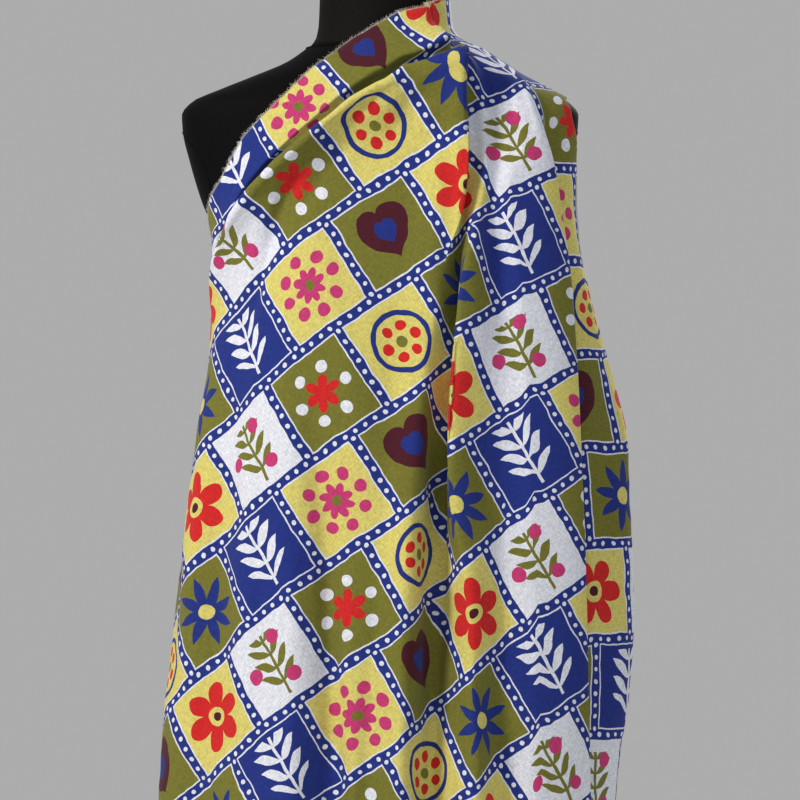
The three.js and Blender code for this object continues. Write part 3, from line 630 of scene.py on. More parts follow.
def slack(flatPlaces):
    # the cloth's small unevenness: long soft waves down the sheet, and shorter ones across
    u, v = np.nan_to_num(flatPlaces[..., 0]), np.nan_to_num(flatPlaces[..., 1])
    draw = random.Random(unevenness["seed"])
    relief = np.zeros(u.shape)
    for length, height, count in unevenness["waves"]:
        for _ in range(count):
            lean = "uprightLean" if draw.random() < unevenness["upright"] else "otherLean"
            heading = math.radians(draw.uniform(*unevenness[lean]))
            wave = 2 * math.pi / (length * draw.uniform(*unevenness["lengths"]))
            shift = draw.uniform(0, 2 * math.pi)
            bend = unevenness["bend"] * np.sin(v / draw.uniform(*unevenness["bendLength"]) + shift)
            along = u * math.cos(heading) + v * math.sin(heading)
            relief += height / math.sqrt(count) * np.sin(wave * along + shift + bend)
    return relief


def sheetRelief():
    # the creases and waves together, calmer in the roll, in the corner and in the knife pleat
    start, end = unevenness["rollEnds"]
    below = np.clip((np.arange(points.shape[1]) - upperCount - start) / (end - start), 0, 1)
    relief = -creaseRelief(points, creases, True) - creaseRelief(points, backCreases, False)
    relief = np.maximum(relief, -unevenness["deepest"]) * mix(unevenness["creasesInRoll"], 1.0, below)
    relief += slack(flat) * mix(unevenness["wavesInRoll"], 1.0, below)
    relief[:shortCount] *= unevenness["inFlap"]
    pleatColumns = (len(pleatLayers) - 1) * drape["pleatSteps"]
    column = np.arange(points.shape[0])
    fromPleat = np.maximum(firstPleat - column, column - firstPleat - pleatColumns)
    calm = mix(unevenness["inPleat"], 1.0, ease(fromPleat / unevenness["besidePleat"]))
    return relief * calm[:, None]


points = points + sheetNormals(points) * sheetRelief()[..., None]


def keepOffForm(grid, clear):
    # no point of the sheet comes nearer to the form's axis than the form's own skin
    z = grid[..., 2]
    inside = (z > formSections[0][0]) & (z < formSections[-1][0])
    left, right, front, back, power = levelCut(formSections, z)
    half = np.where(grid[..., 0] < 0, left, right) + clear
    deep = np.where(grid[..., 1] < 0, front, back) + clear
    size = (np.abs(grid[..., 0]) / half) ** power + (np.abs(grid[..., 1]) / deep) ** power
    scale = np.where(inside & (size < 1), size ** (-1 / power), 1.0)
    grid[..., 0] *= scale
    grid[..., 1] *= scale
    return grid


points = keepOffForm(points, unevenness["clear"])
print("creases laid")


# Meshes

def makePiece(name, places, faces, material, maps=()):
    # places in mm; maps are (name, one uv pair for each place)
    mesh = bpy.data.meshes.new(name)
    mesh.from_pydata((np.asarray(places) * mm).tolist(), [], [list(map(int, f)) for f in faces])
    mesh.update()
    corners = np.empty(len(mesh.loops), int)
    mesh.loops.foreach_get("vertex_index", corners)
    for mapName, pairs in maps:
        layer = mesh.uv_layers.new(name=mapName)
        layer.data.foreach_set("uv", np.asarray(pairs)[corners].ravel())
    mesh.polygons.foreach_set("use_smooth", [True] * len(mesh.polygons))
    mesh.materials.append(material)
    piece = bpy.data.objects.new(name, mesh)
    bpy.context.collection.objects.link(piece)
    return piece


def dress(piece, slot, *nodes):
    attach(piece, "root")
    if nodes:
        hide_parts(*nodes)


# Printed linen rayon: a plain weave of uneven slub yarns, dyed on the face, so it looks matt and
# softly streaked both ways, with a little sheen where it turns away.

cloth = {
    "yellow": "d6cd73",
    "olive": "74742f",
    "blue": "203283",
    "white": "dfe4f1",
    "red": "cc2627",
    "pink": "c13b75",
    "maroon": "4a1826",
    "undyed": "f0eee0",
    "grounds": ("yellow", "olive", "yellow", "blue", "olive", "yellow", "olive", "white"),
    "kindStep": 3,  # how many kinds of tile each row is ahead of the one above
    "tileSide": 94,  # mm, as all the lengths here are
    "firstRow": 47,  # how much of the first row of tiles the top edge cuts off
    "trellis": 5.0,  # half the width of the blue strip between the tiles
    "piping": 1.5,
    "dotSpacing": 11.75,  # eight to a tile, so that the rows still meet when one is moved on by half
    "dotRadius": 2.3,
    "stem": 1.7,  # half the width of a sprig's stem
    "leafSlant": 0.75,
    "heartLift": 0.62,  # how far a heart's sides are lifted, as a share of its height
    "leafEnd": 6,  # how far the last leaf stays from the stem's end
    "handCut": 1.6,  # how far the print's edges wander
    "wander": 26,  # from one bend of those edges to the next
    "yarn": 1.4,  # the real threads are 0.6 mm apart and are drawn coarser, so that they show
    "slub": 6.5,
    "streak": 1.188,  # times the yarns' noise, which strays about 0.2 from its middle
    "roughness": 0.86,
    "sheen": 0.07,
    "sheenRoughness": 0.5,
    "specular": 0.18,
    "bump": 0.45,
    "bumpHeight": 0.8,
    "worn": 0.65,  # the share of undyed yarn at the cut ends
}


def clothMaterial(name, bare):
    # bare is the share of undyed yarn that shows through the print
    material, tree, shader = newMaterial(
        name, cloth["yellow"], cloth["roughness"], Sheen_Weight=cloth["sheen"],
        Sheen_Roughness=cloth["sheenRoughness"], Specular_IOR_Level=cloth["specular"])
    maths, vectors, noise = "ShaderNodeMath", "ShaderNodeVectorMath", "ShaderNodeTexNoise"
    place = addNode(tree, "ShaderNodeUVMap", uv_map="Cut").outputs[0]
    # the noise strays about a quarter from its middle, so four times that takes the edges as far as handCut
    wander = addNode(tree, noise, {"Vector": place, "Scale": 1 / cloth["wander"], "Detail": 2.0})
    centred = addNode(tree, vectors, [wander.outputs["Color"], (0.5, 0.5, 0.5)], operation="SUBTRACT")
    nudge = addNode(tree, vectors, {0: centred, "Scale": 4 * cloth["handCut"]}, operation="SCALE")
    spot = addNode(tree, "ShaderNodeSeparateXYZ", [addNode(tree, vectors, [place, nudge], operation="ADD")])
    # a and b count the tiles across and down, and each row is moved on by half a tile
    side = cloth["tileSide"]
    b = addNode(tree, maths, [spot.outputs[1], cloth["firstRow"]], operation="ADD")
    b = addNode(tree, maths, [b, side], operation="DIVIDE")
    cellB = addNode(tree, maths, [b], operation="FLOOR")
    a = addNode(tree, maths, [spot.outputs[0], side], operation="DIVIDE")
    a = addNode(tree, maths, [cellB, 0.5, a], operation="MULTIPLY_ADD")
    cellA = addNode(tree, maths, [a], operation="FLOOR")
    fromMiddle = []
    for value, cell in ((a, cellA), (b, cellB)):
        inTile = addNode(tree, maths, [value, cell], operation="SUBTRACT")
        fromMiddle.append(addNode(tree, maths, [inTile, 0.5], operation="SUBTRACT"))
    kinds = len(cloth["grounds"])
    kind = addNode(tree, maths, [cellB, cloth["kindStep"], cellA], operation="MULTIPLY_ADD")
    kind = addNode(tree, maths, [kind, kinds], operation="FLOORED_MODULO")
    # where a point is in its tile: x across and y down, in mm from the middle
    x, y = [addNode(tree, maths, [share, side], operation="MULTIPLY") for share in fromMiddle]
    radius = addNode(tree, maths, [y, y], operation="MULTIPLY")
    radius = addNode(tree, maths, [x, x, radius], operation="MULTIPLY_ADD")
    radius = addNode(tree, maths, [radius], operation="SQRT")
    angle = addNode(tree, maths, [y, x], operation="ARCTAN2")
    absX = addNode(tree, maths, [x], operation="ABSOLUTE")

    def inCircle(across, up, size):
        # across and up are the distances from the circle's middle
        squares = addNode(tree, maths, [up, up], operation="MULTIPLY")
        squares = addNode(tree, maths, [across, across, squares], operation="MULTIPLY_ADD")
        return addNode(tree, maths, [squares, size ** 2], operation="LESS_THAN")

    def inOutline(share, inner, outer):
        # the outline's radius goes from inner to outer as share goes from 0 to 1
        outline = addNode(tree, maths, [share, outer - inner, inner], operation="MULTIPLY_ADD")
        return addNode(tree, maths, [radius, outline], operation="LESS_THAN")

    def petals(count, inner, outer, roundness):
        lobe = addNode(tree, maths, [angle, count / 2], operation="MULTIPLY")
        lobe = addNode(tree, maths, [lobe], operation="COSINE")
        lobe = addNode(tree, maths, [lobe], operation="ABSOLUTE")
        lobe = addNode(tree, maths, [lobe, roundness], operation="POWER")
        return inOutline(lobe, inner, outer)

    def star(count, inner, outer):
        point = addNode(tree, maths, [angle, count / (2 * math.pi), 0.25], operation="MULTIPLY_ADD")
        point = addNode(tree, maths, [point], operation="FRACT")
        point = addNode(tree, maths, [point, 0.5], operation="SUBTRACT")
        point = addNode(tree, maths, [point], operation="ABSOLUTE")
        point = addNode(tree, maths, [point, 2.0], operation="MULTIPLY")
        return inOutline(point, inner, outer)

    def disc(size):
        return addNode(tree, maths, [radius, size], operation="LESS_THAN")

    def ringOfDots(count, ring, size):
        # every dot is folded onto the first
        fold = addNode(tree, maths, [angle, count / (2 * math.pi), 0.5], operation="MULTIPLY_ADD")
        fold = addNode(tree, maths, [fold], operation="FRACT")
        fold = addNode(tree, maths, [fold, 0.5], operation="SUBTRACT")
        fold = addNode(tree, maths, [fold, 2 * math.pi / count], operation="MULTIPLY")
        outward = addNode(tree, maths, [fold], operation="COSINE")
        outward = addNode(tree, maths, [radius, outward], operation="MULTIPLY")
        outward = addNode(tree, maths, [outward, ring], operation="SUBTRACT")
        sideways = addNode(tree, maths, [fold], operation="SINE")
        sideways = addNode(tree, maths, [radius, sideways], operation="MULTIPLY")
        return inCircle(outward, sideways, size)

    def heart(width, height, raised):
        # a circle whose sides are lifted by the root of the distance from its middle line
        lobe = addNode(tree, maths, [absX, width], operation="DIVIDE")
        lobe = addNode(tree, maths, [lobe], operation="SQRT")
        drop = addNode(tree, maths, [lobe, height * cloth["heartLift"], raised], operation="MULTIPLY_ADD")
        drop = addNode(tree, maths, [drop, y], operation="ADD")
        across = addNode(tree, maths, [x, width], operation="DIVIDE")
        up = addNode(tree, maths, [drop, height], operation="DIVIDE")
        return inCircle(across, up, 1.0)

    def sprig(reach, leafStep, leafWidth, low, high):
        # a stem with leaves in pairs, that slant up and away from it
        slant = addNode(tree, maths, [absX, cloth["leafSlant"], y], operation="MULTIPLY_ADD")
        offLine = addNode(tree, maths, [slant, leafStep], operation="DIVIDE")
        offLine = addNode(tree, maths, [offLine], operation="FRACT")
        offLine = addNode(tree, maths, [offLine, 0.5], operation="SUBTRACT")
        offLine = addNode(tree, maths, [offLine], operation="ABSOLUTE")
        offLine = addNode(tree, maths, [offLine, leafStep], operation="MULTIPLY")
        lens = addNode(tree, maths, [absX, reach], operation="DIVIDE")
        lens = addNode(tree, maths, [lens, 1.0], operation="MINIMUM")
        lens = addNode(tree, maths, [lens, math.pi], operation="MULTIPLY")
        lens = addNode(tree, maths, [lens], operation="SINE")
        lens = addNode(tree, maths, [lens, leafWidth], operation="MULTIPLY")
        inLens = addNode(tree, maths, [offLine, lens], operation="LESS_THAN")
        inReach = addNode(tree, maths, [absX, reach], operation="LESS_THAN")
        leaf = addNode(tree, maths, [inLens, inReach], operation="MULTIPLY")
        leafLength = addNode(tree, maths, [slant, high - cloth["leafEnd"]], operation="LESS_THAN")
        leaf = addNode(tree, maths, [leaf, leafLength], operation="MULTIPLY")
        stem = addNode(tree, maths, [absX, cloth["stem"]], operation="LESS_THAN")
        aboveLow = addNode(tree, maths, [y, low], operation="GREATER_THAN")
        belowHigh = addNode(tree, maths, [y, high], operation="LESS_THAN")
        inLength = addNode(tree, maths, [aboveLow, belowHigh], operation="MULTIPLY")
        either = addNode(tree, maths, [stem, leaf], operation="MAXIMUM")
        return addNode(tree, maths, [inLength, either], operation="MULTIPLY")

    middle = addNode(tree, maths, [kind, 0.5], operation="ADD")
    share = addNode(tree, maths, [middle, kinds], operation="DIVIDE")
    ground = addNode(tree, "ShaderNodeValToRGB", [share])
    ramp = ground.color_ramp
    ramp.interpolation = "CONSTANT"
    for k, shade in enumerate(cloth["grounds"]):
        stop = ramp.elements[k] if k < 2 else ramp.elements.new(k / kinds)
        stop.position = k / kinds
        stop.color = linear(cloth[shade])
    motifs = [  # the tile each motif lies on, its shape and its colour, the lowest layer first
        (0, petals(6, 15, 35, 0.7), "red"), (0, disc(10), "yellow"), (0, disc(5), "maroon"),
        (1, heart(27, 25, -3), "maroon"), (1, heart(12, 11, 0), "blue"),
        (2, ringOfDots(8, 28, 6.5), "pink"), (2, petals(8, 11, 18, 1.0), "pink"), (2, disc(5), "olive"),
        (3, sprig(25, 17, 6.2, -36, 34), "white"),
        (4, star(8, 13, 36), "blue"), (4, disc(8), "yellow"),
        (5, disc(31), "blue"), (5, disc(26), "yellow"), (5, ringOfDots(6, 16, 5.5), "red"),
        (5, disc(5.5), "olive"),
        (6, ringOfDots(6, 27, 6), "white"), (6, petals(6, 8, 19, 0.8), "red"),
        (7, sprig(22, 15, 5.2, -30, 36), "olive"), (7, ringOfDots(3, 25, 7.5), "pink"),
    ]
    layers = []
    for number, shape, shade in motifs:
        onTile = addNode(tree, maths, [kind, number, 0.4], operation="COMPARE")
        layers.append((addNode(tree, maths, [onTile, shape], operation="MULTIPLY"), shade))
    # the trellis between the tiles: a blue strip with pale edges and a row of white dots
    sideA, sideB = [addNode(tree, maths, [share], operation="ABSOLUTE") for share in fromMiddle]
    offLine = addNode(tree, maths, [sideA, sideB], operation="MAXIMUM")
    offLine = addNode(tree, maths, [0.5, offLine], operation="SUBTRACT")
    offLine = addNode(tree, maths, [offLine, side], operation="MULTIPLY")
    upright = addNode(tree, maths, [sideA, sideB], operation="GREATER_THAN")
    ends = {0: upright, 2: fromMiddle[0], 3: fromMiddle[1]}
    along = addNode(tree, "ShaderNodeMix", ends, data_type="FLOAT")
    along = addNode(tree, maths, [along, side], operation="MULTIPLY")
    along = addNode(tree, maths, [along, cloth["dotSpacing"]], operation="FLOORED_MODULO")
    along = addNode(tree, maths, [along, cloth["dotSpacing"] / 2], operation="SUBTRACT")
    for reach, shade in ((cloth["trellis"] + cloth["piping"], "white"), (cloth["trellis"], "blue")):
        layers.append((addNode(tree, maths, [offLine, reach], operation="LESS_THAN"), shade))
    layers.append((inCircle(along, offLine, cloth["dotRadius"]), "white"))
    if bare:
        layers.append((bare, "undyed"))
    colour = ground.outputs[0]
    for share, shade in layers:
        feeds = {0: share, 6: colour, 7: linear(cloth[shade])}
        colour = addNode(tree, "ShaderNodeMix", feeds, data_type="RGBA").outputs[2]
    # yarns: streaks along and across the cut
    streaks = []
    for length, width in ((cloth["yarn"], cloth["slub"]), (cloth["slub"], cloth["yarn"])):
        laid = addNode(tree, vectors, [place, (1 / length, 1 / width, 1)], operation="MULTIPLY")
        streaks.append(addNode(tree, noise, {"Vector": laid, "Scale": 1.0, "Detail": 1.0, "Roughness": 0.6}))
    yarn = addNode(tree, maths, streaks, operation="ADD")
    yarn = addNode(tree, maths, [yarn, 0.5], operation="MULTIPLY")
    fade = addNode(tree, maths, [yarn, 0.5], operation="SUBTRACT")
    fade = addNode(tree, maths, [fade, cloth["streak"], 1.0], operation="MULTIPLY_ADD")
    shaded = addNode(tree, vectors, {0: colour, "Scale": fade}, operation="SCALE")
    tree.links.new(shaded.outputs[0], shader.inputs["Base Color"])
    relief = {"Strength": cloth["bump"], "Distance": cloth["bumpHeight"] * mm, "Height": yarn}
    bump = addNode(tree, "ShaderNodeBump", relief)
    tree.links.new(bump.outputs[0], shader.inputs["Normal"])
    return material


printedCloth = clothMaterial("printed linen rayon, plain weave", 0)
looseYarn = clothMaterial("linen rayon yarn, print worn off the cut ends", cloth["worn"])
print("cloth material made")


def sheetPiece():
    # one continuous sheet with a thin wall
    columns, rows = points.shape[:2]
    number = np.full((columns, rows), -1)
    there = np.isfinite(points[..., 0])
    number[there] = np.arange(there.sum())
    corners = np.stack([number[:-1, :-1], number[1:, :-1], number[1:, 1:], number[:-1, 1:]], -1)
    corners = corners.reshape(-1, 4)
    faces = corners[(corners >= 0).all(1)]
    margin = 0.002  # left free round the second map
    acrossMap = np.linspace(margin, 1 - margin, columns)
    downMap = np.linspace(margin, 1 - margin, rows)
    sheetMap = np.stack(np.meshgrid(acrossMap, downMap, indexing="ij"), -1)
    piece = makePiece("cloth", points[there], faces, printedCloth,
                      [("Cut", flat[there]), ("OFBake", sheetMap[there])])
    wall = piece.modifiers.new("wall", "SOLIDIFY")
    wall.thickness = drape["thickness"] * mm
    wall.offset = 0
    wall.use_even_offset = False
    return piece


fray = {
    "threads": 7500,
    "bareColumns": 30,  # the last columns at the back end have no fray
    "length": (1.6, 5.0),  # mm
    "shortShare": 0.6,  # how many threads are short, and how long they are beside the others
    "shortLength": 0.55,
    "rootDepth": 0.6,
    "radius": 0.15,
    "taper": 0.45,  # how much thinner and how much further bent a thread is at its tip
    "spread": 38,  # degrees to either side of straight out
    "offSheet": 0.25,
    "curl": 0.9,
    "curlOffSheet": 0.6,
    "rings": 4,
    "sides": 3,
    "seed": 5,
}


def frayPiece():
    # loose yarns along the cut edge, each a thin bent thread in the print's colour where it starts
    last = len(points) - fray["bareColumns"]
    edge, cut = points[:last, 0], flat[:last, 0]
    inward = points[:last, 1] - edge
    inward /= np.linalg.norm(inward, axis=-1, keepdims=True)
    outNormal = sheetNormals(points)[:last, 0]
    steps = np.linalg.norm(np.diff(edge, axis=0), axis=1)
    along = np.concatenate([[0], np.cumsum(steps)])
    rings, sides = fray["rings"], fray["sides"]
    draw = random.Random(fray["seed"])
    places, faces, pairs = [], [], []
    for _ in range(fray["threads"]):
        at = draw.uniform(0, along[-1])
        i = min(int(np.searchsorted(along, at, side="right")) - 1, len(edge) - 2)
        t = (at - along[i]) / steps[i]
        root = Vector(mix(edge[i], edge[i + 1], t))
        tangent = Vector(edge[i + 1] - edge[i]).normalized()
        away = -Vector(inward[i])
        away = (away - tangent * away.dot(tangent)).normalized()
        normal = Vector(outNormal[i])
        lean = math.radians(draw.gauss(0, fray["spread"]))
        heading = away * math.cos(lean) + tangent * math.sin(lean) + normal * draw.gauss(0, fray["offSheet"])
        heading.normalize()
        bend = (tangent * draw.gauss(0, 1) + normal * draw.gauss(0, fray["curlOffSheet"])) * fray["curl"]
        length = draw.uniform(*fray["length"])
        length *= fray["shortLength"] if draw.random() < fray["shortShare"] else 1
        sideways = heading.cross(normal).normalized()
        up = sideways.cross(heading).normalized()
        first = len(places)
        for k in range(rings):
            s = k / (rings - 1)
            middle = root - heading * fray["rootDepth"] + heading * length * s
            middle += bend * length * fray["taper"] * s * s
            thick = fray["radius"] * (1 - fray["taper"] * s)
            for corner in range(sides):
                turn = 2 * math.pi * corner / sides
                places.append(middle + (sideways * math.cos(turn) + up * math.sin(turn)) * thick)
                pairs.append(mix(cut[i], cut[i + 1], t))
        for k in range(rings - 1):
            ring = first + sides * k
            for corner in range(sides):
                a, b = ring + corner, ring + (corner + 1) % sides
                faces.append((a, b, b + sides, a + sides))
        tip = first + sides * (rings - 1)
        faces.append(tuple(range(first + sides - 1, first - 1, -1)))
        faces.append(tuple(range(tip, tip + sides)))
    return makePiece("frayed_edge", places, faces, looseYarn, [("Cut", pairs)])


sheet = sheetPiece()
dress(sheet, "linen_rayon", "cloth_shoulder_corner", "cloth_side_fall", "cloth_centre_fall",
      "cloth_front_wrap", "cloth_back_wrap")
frayed = frayPiece()
dress(frayed, "linen_rayon")
print("sheet and frayed edge made")


# The form and its stand

jersey = {
    "colour": "060506",
    "neckColour": "1a1817",
    "ribColour": "0d0c0e",
    "lintColour": "6d6a68",
    "roughness": 0.72,
    "sheen": 0.01,
    "sheenRoughness": 0.4,
    "specular": 0.06,
    "knit": 1.4,  # mm from rib to rib, drawn coarser than the real 0.6
    "lint": 26,  # mm from speck to speck
    "speck": 0.024,  # a speck's size beside that
    "bump": 0.25,
    "bumpHeight": 0.6,
}


def jerseyMaterial(name, colour):
    # black cotton jersey, stretched: fine ribs, nearly no gloss, a soft light edge and a little lint
    material, tree, shader = newMaterial(
        name, colour, jersey["roughness"], Sheen_Weight=jersey["sheen"],
        Sheen_Roughness=jersey["sheenRoughness"], Specular_IOR_Level=jersey["specular"])
    place = addNode(tree, "ShaderNodeTexCoord").outputs["Object"]
    rib = 1 / (jersey["knit"] * mm)
    ribs = addNode(tree, "ShaderNodeVectorMath", [place, (rib, rib, rib / 4)], operation="MULTIPLY")
    knit = addNode(tree, "ShaderNodeTexNoise", {"Vector": ribs, "Scale": 1.0, "Detail": 1.0})
    spread = {"Vector": place, "Scale": 1 / (jersey["lint"] * mm)}
    lint = addNode(tree, "ShaderNodeTexVoronoi", spread, feature="F1")
    away = lint.outputs["Distance"]
    speck = addNode(tree, "ShaderNodeMath", [away, jersey["speck"]], operation="LESS_THAN")
    shade = linear(colour)
    for share, over in ((knit, "ribColour"), (speck, "lintColour")):
        feeds = {0: share, 6: shade, 7: linear(jersey[over])}
        shade = addNode(tree, "ShaderNodeMix", feeds, data_type="RGBA").outputs[2]
    tree.links.new(shade, shader.inputs["Base Color"])
    relief = {"Strength": jersey["bump"], "Distance": jersey["bumpHeight"] * mm, "Height": knit}
    bump = addNode(tree, "ShaderNodeBump", relief)
    tree.links.new(bump.outputs[0], shader.inputs["Normal"])
    return material


def closedTube(name, path, radius, material, sides=8):
    # a thin round seam along a closed path, in mm
    path = np.asarray(path, float)
    ahead = np.roll(path, -1, 0) - np.roll(path, 1, 0)
    ahead /= np.linalg.norm(ahead, axis=1, keepdims=True)
    away = path - path.mean(0)
    away -= ahead * (away * ahead).sum(1, keepdims=True)
    away /= np.linalg.norm(away, axis=1, keepdims=True)
    other = np.cross(ahead, away)
    turns = np.linspace(0, 2 * np.pi, sides, endpoint=False)[:, None]
    rings = path[:, None] + radius * (np.cos(turns) * away[:, None] + np.sin(turns) * other[:, None])
    faces = []
    for i in range(len(path)):
        near, far = i * sides, (i + 1) % len(path) * sides
        for j in range(sides):
            k = (j + 1) % sides
            faces.append((near + j, near + k, far + k, far + j))
    return makePiece(name, rings.reshape(-1, 3), faces, material)


def skinPiece(name, table, bottom, top, rings, sides, material):
    # a smooth body through level cuts, closed flat at the bottom and the top
    heights = mix(bottom, top, np.linspace(0, 1, rings + 1))
    turns = 360 * np.arange(sides) / sides
    body = np.stack([sectionPoint(table, turns, np.full(sides, z)) for z in heights])
    places = [*body.reshape(-1, 3), (0, 0, bottom), (0, 0, top)]
    faces = []
    for k in range(rings):
        low, high = k * sides, (k + 1) * sides
        for i in range(sides):
            j = (i + 1) % sides
            faces.append((low + i, low + j, high + j, high + i))
    bottomMiddle, topMiddle = len(places) - 2, len(places) - 1
    faces += [(bottomMiddle, (i + 1) % sides, i) for i in range(sides)]
    faces += [(topMiddle, rings * sides + i, rings * sides + (i + 1) % sides) for i in range(sides)]
    return makePiece(name, places, faces, material)


def turnedPiece(name, outline, sides, material):
    # a turned piece: outline is radius and height, from the axis or closed on itself
    closed = outline[0] == outline[-1]
    outline = outline[:-1] if closed else outline
    places, faces, ringOf = [], [], []
    for r, z in outline:
        if r == 0:
            ringOf.append([len(places)] * sides)
            places.append((0, 0, z))
        else:
            ringOf.append(list(range(len(places), len(places) + sides)))
            places.extend((r * math.cos(2 * math.pi * i / sides), r * math.sin(2 * math.pi * i / sides), z)
                          for i in range(sides))
    spans = list(zip(ringOf, ringOf[1:])) + ([(ringOf[-1], ringOf[0])] if closed else [])
    for a, b in spans:
        for i in range(sides):
            j = (i + 1) % sides
            face = list(dict.fromkeys((a[i], a[j], b[j], b[i])))
            if len(face) > 2:
                faces.append(face)
    piece = makePiece(name, places, faces, material)
    piece.data.set_sharp_from_angle(angle=math.radians(stand["sharpFrom"]))
    return piece


bodyJersey = jerseyMaterial("black cotton jersey", jersey["colour"])
neckJersey = jerseyMaterial("black cotton jersey, thinner on the neck", jersey["neckColour"])


form = {  # mm
    "torso": (830, 1555.7, 150, 128),  # bottom and top, then how many rings and sides
    "neck": (1556, 1640, 20, 96),
    "seamRadius": 0.75,
    "seamStep": 3.0,  # degrees from ring to ring
    "neckSeam": 1554.5,
    "neckSeamOut": 1.006,  # how much wider than the torso that seam is
    "plateHeight": 1415,  # the seam round each arm's plate: its middle, and how far it reaches
    "plateDepth": 50,
    "plateRise": 55,
}


def formPieces():
    torso = skinPiece("form_body", formSections, *form["torso"], bodyJersey)
    dress(torso, "jersey", "torso")
    neck = skinPiece("form_neck", neckSections, *form["neck"], neckJersey)
    dress(neck, "jersey", "neck")
    turns = np.arange(0, 360, form["seamStep"])
    seam = sectionPoint(formSections, turns, np.full(len(turns), form["neckSeam"]))
    seam *= [form["neckSeamOut"], form["neckSeamOut"], 1]
    dress(closedTube("neck_seam", seam, form["seamRadius"], bodyJersey), "jersey")
    for side, name in ((-1, "left_arm_seam"), (1, "right_arm_seam")):
        y = form["plateDepth"] * np.cos(np.radians(turns))
        z = form["plateHeight"] + form["plateRise"] * np.sin(np.radians(turns))
        half, _, deep, _, power = levelCut(formSections, z)
        x = half * (1 - (np.abs(y) / deep) ** power) ** (1 / power)
        seam = np.stack([side * x, y, z], -1)
        dress(closedTube(name, seam, form["seamRadius"], bodyJersey), "jersey")


stand = {  # each outline is radius and height in mm
    "foot": [(0, 0), (180, 0), (183.2, 1.2), (185, 4), (185, 8), (183.6, 10.6), (180, 12.2), (120, 14.4),
             (60, 16), (0, 16)],
    "hub": [(14.3, 16.3), (34, 16.3), (36, 18), (36, 26), (34.5, 28.3), (27, 40), (25, 52), (24.2, 60),
            (23, 62.3), (14.3, 62.3), (14.3, 16.3)],
    "pole": [(0, 16.3), (14, 16.3), (14, 815.4), (0, 815.4)],
    "clamp": [(14.3, 757.4), (19, 757.4), (21.2, 758.6), (22, 761), (22, 797), (24, 801), (33, 806.4),
              (34, 808.5), (34, 815.4), (14.3, 815.4), (14.3, 757.4)],
    "cap": [(0, 1640.3), (56, 1640.3), (58.4, 1641.2), (59, 1643), (58.6, 1646), (56, 1649), (50, 1651.4),
            (32, 1653.2), (16, 1654), (13, 1655.6), (12.4, 1658), (11, 1660.6), (7, 1661.8), (0, 1662)],
    "board": (146, 99, 101, 2.3),  # half breadth, front, back and power
    "boardEdge": ((815.7, 2.5), (816.9, 0.6), (818.5, 0), (827, 0), (828.6, 0.6), (829.7, 2.5)),
    "sharpFrom": 35,  # degrees
    "coat": "161618",
    "coatRoughness": 0.42,
    "peel": 1.5,  # mm from dimple to dimple of the orange peel
    "peelBump": 0.12,
    "peelHeight": 0.3,
    "chrome": "c4c6c9",
    "chromeRoughness": (0.1, 0.24),
    "drawMarks": (900, 900, 14),  # to the metre: about 1 mm apart round the tube, and long down it
    "lacquer": "211d1b",
    "lacquerRoughness": 0.38,
    "lacquerCoat": 0.3,
    "lacquerCoatRoughness": 0.2,
    "grain": ("171413", "2c2623"),
    "grainLines": (30, 420, 420),  # to the metre: about 2 mm apart
}


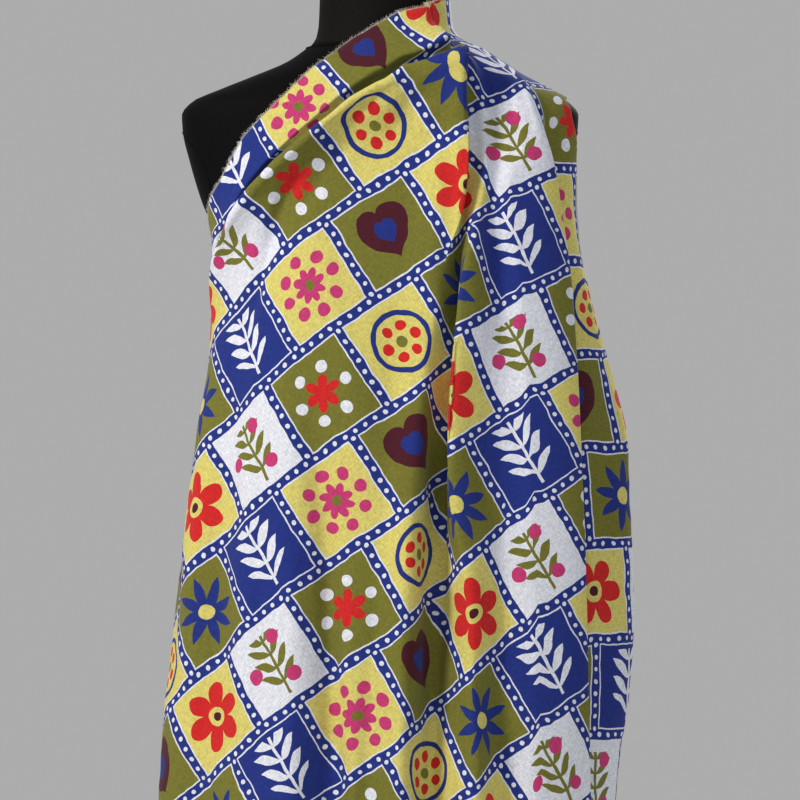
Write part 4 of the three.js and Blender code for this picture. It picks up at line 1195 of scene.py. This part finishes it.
def standMaterials():
    # powder-coated steel: satin black with a fine orange peel
    coat, tree, shader = newMaterial(
        "powder-coated steel, satin black", stand["coat"], stand["coatRoughness"], Specular_IOR_Level=0.5)
    place = addNode(tree, "ShaderNodeTexCoord").outputs["Object"]
    dimples = {"Vector": place, "Scale": 1 / (stand["peel"] * mm), "Detail": 2.0}
    peel = addNode(tree, "ShaderNodeTexNoise", dimples)
    relief = {"Strength": stand["peelBump"], "Distance": stand["peelHeight"] * mm, "Height": peel}
    bump = addNode(tree, "ShaderNodeBump", relief)
    tree.links.new(bump.outputs[0], shader.inputs["Normal"])
    # polished chrome-plated tube: clear reflections, faint draw marks down its length
    low, high = stand["chromeRoughness"]
    chrome, tree, shader = newMaterial("chrome-plated steel tube", stand["chrome"], low, Metallic=1.0)
    place = addNode(tree, "ShaderNodeTexCoord").outputs["Object"]
    drawn = addNode(tree, "ShaderNodeVectorMath", [place, stand["drawMarks"]], operation="MULTIPLY")
    marks = addNode(tree, "ShaderNodeTexNoise", {"Vector": drawn, "Scale": 1.0})
    rough = addNode(tree, "ShaderNodeMapRange", {"Value": marks, 3: low, 4: high})
    tree.links.new(rough.outputs[0], shader.inputs["Roughness"])
    # lacquered beech board, stained black: a low gloss with faint grain
    lacquer, tree, shader = newMaterial(
        "beech board, black lacquer", stand["lacquer"], stand["lacquerRoughness"],
        Coat_Weight=stand["lacquerCoat"], Coat_Roughness=stand["lacquerCoatRoughness"])
    place = addNode(tree, "ShaderNodeTexCoord").outputs["Object"]
    grained = addNode(tree, "ShaderNodeVectorMath", [place, stand["grainLines"]], operation="MULTIPLY")
    grain = addNode(tree, "ShaderNodeTexNoise", {"Vector": grained, "Scale": 1.0, "Detail": 3.0})
    darkLine, paleLine = [linear(shade) for shade in stand["grain"]]
    tone = addNode(tree, "ShaderNodeMix", {0: grain, 6: darkLine, 7: paleLine}, data_type="RGBA")
    tree.links.new(tone.outputs[2], shader.inputs["Base Color"])
    return coat, chrome, lacquer


def standPieces():
    coat, chrome, lacquer = standMaterials()
    for name, outline, sides, material, slot, node in (
        ("stand_foot", "foot", 128, coat, "black_metal", "foot_plate"),
        ("stand_hub", "hub", 64, coat, "black_metal", "foot_hub"),
        ("stand_pole", "pole", 64, chrome, "steel", "pole"),
        ("stand_clamp", "clamp", 64, coat, "black_metal", "pole_clamp"),
    ):
        dress(turnedPiece(name, stand[outline], sides, material), slot, node)
    side, front, back, power = stand["board"]
    base = [(z, side - e, front - e, back - e, power) for z, e in stand["boardEdge"]]
    dress(skinPiece("hip_base", base, base[0][0], base[-1][0], 12, 128, lacquer), "board", "hip_board")
    dress(turnedPiece("neck_lid", stand["cap"], 96, lacquer), "board", "neck_cap")


formPieces()
standPieces()
print("form and stand made")
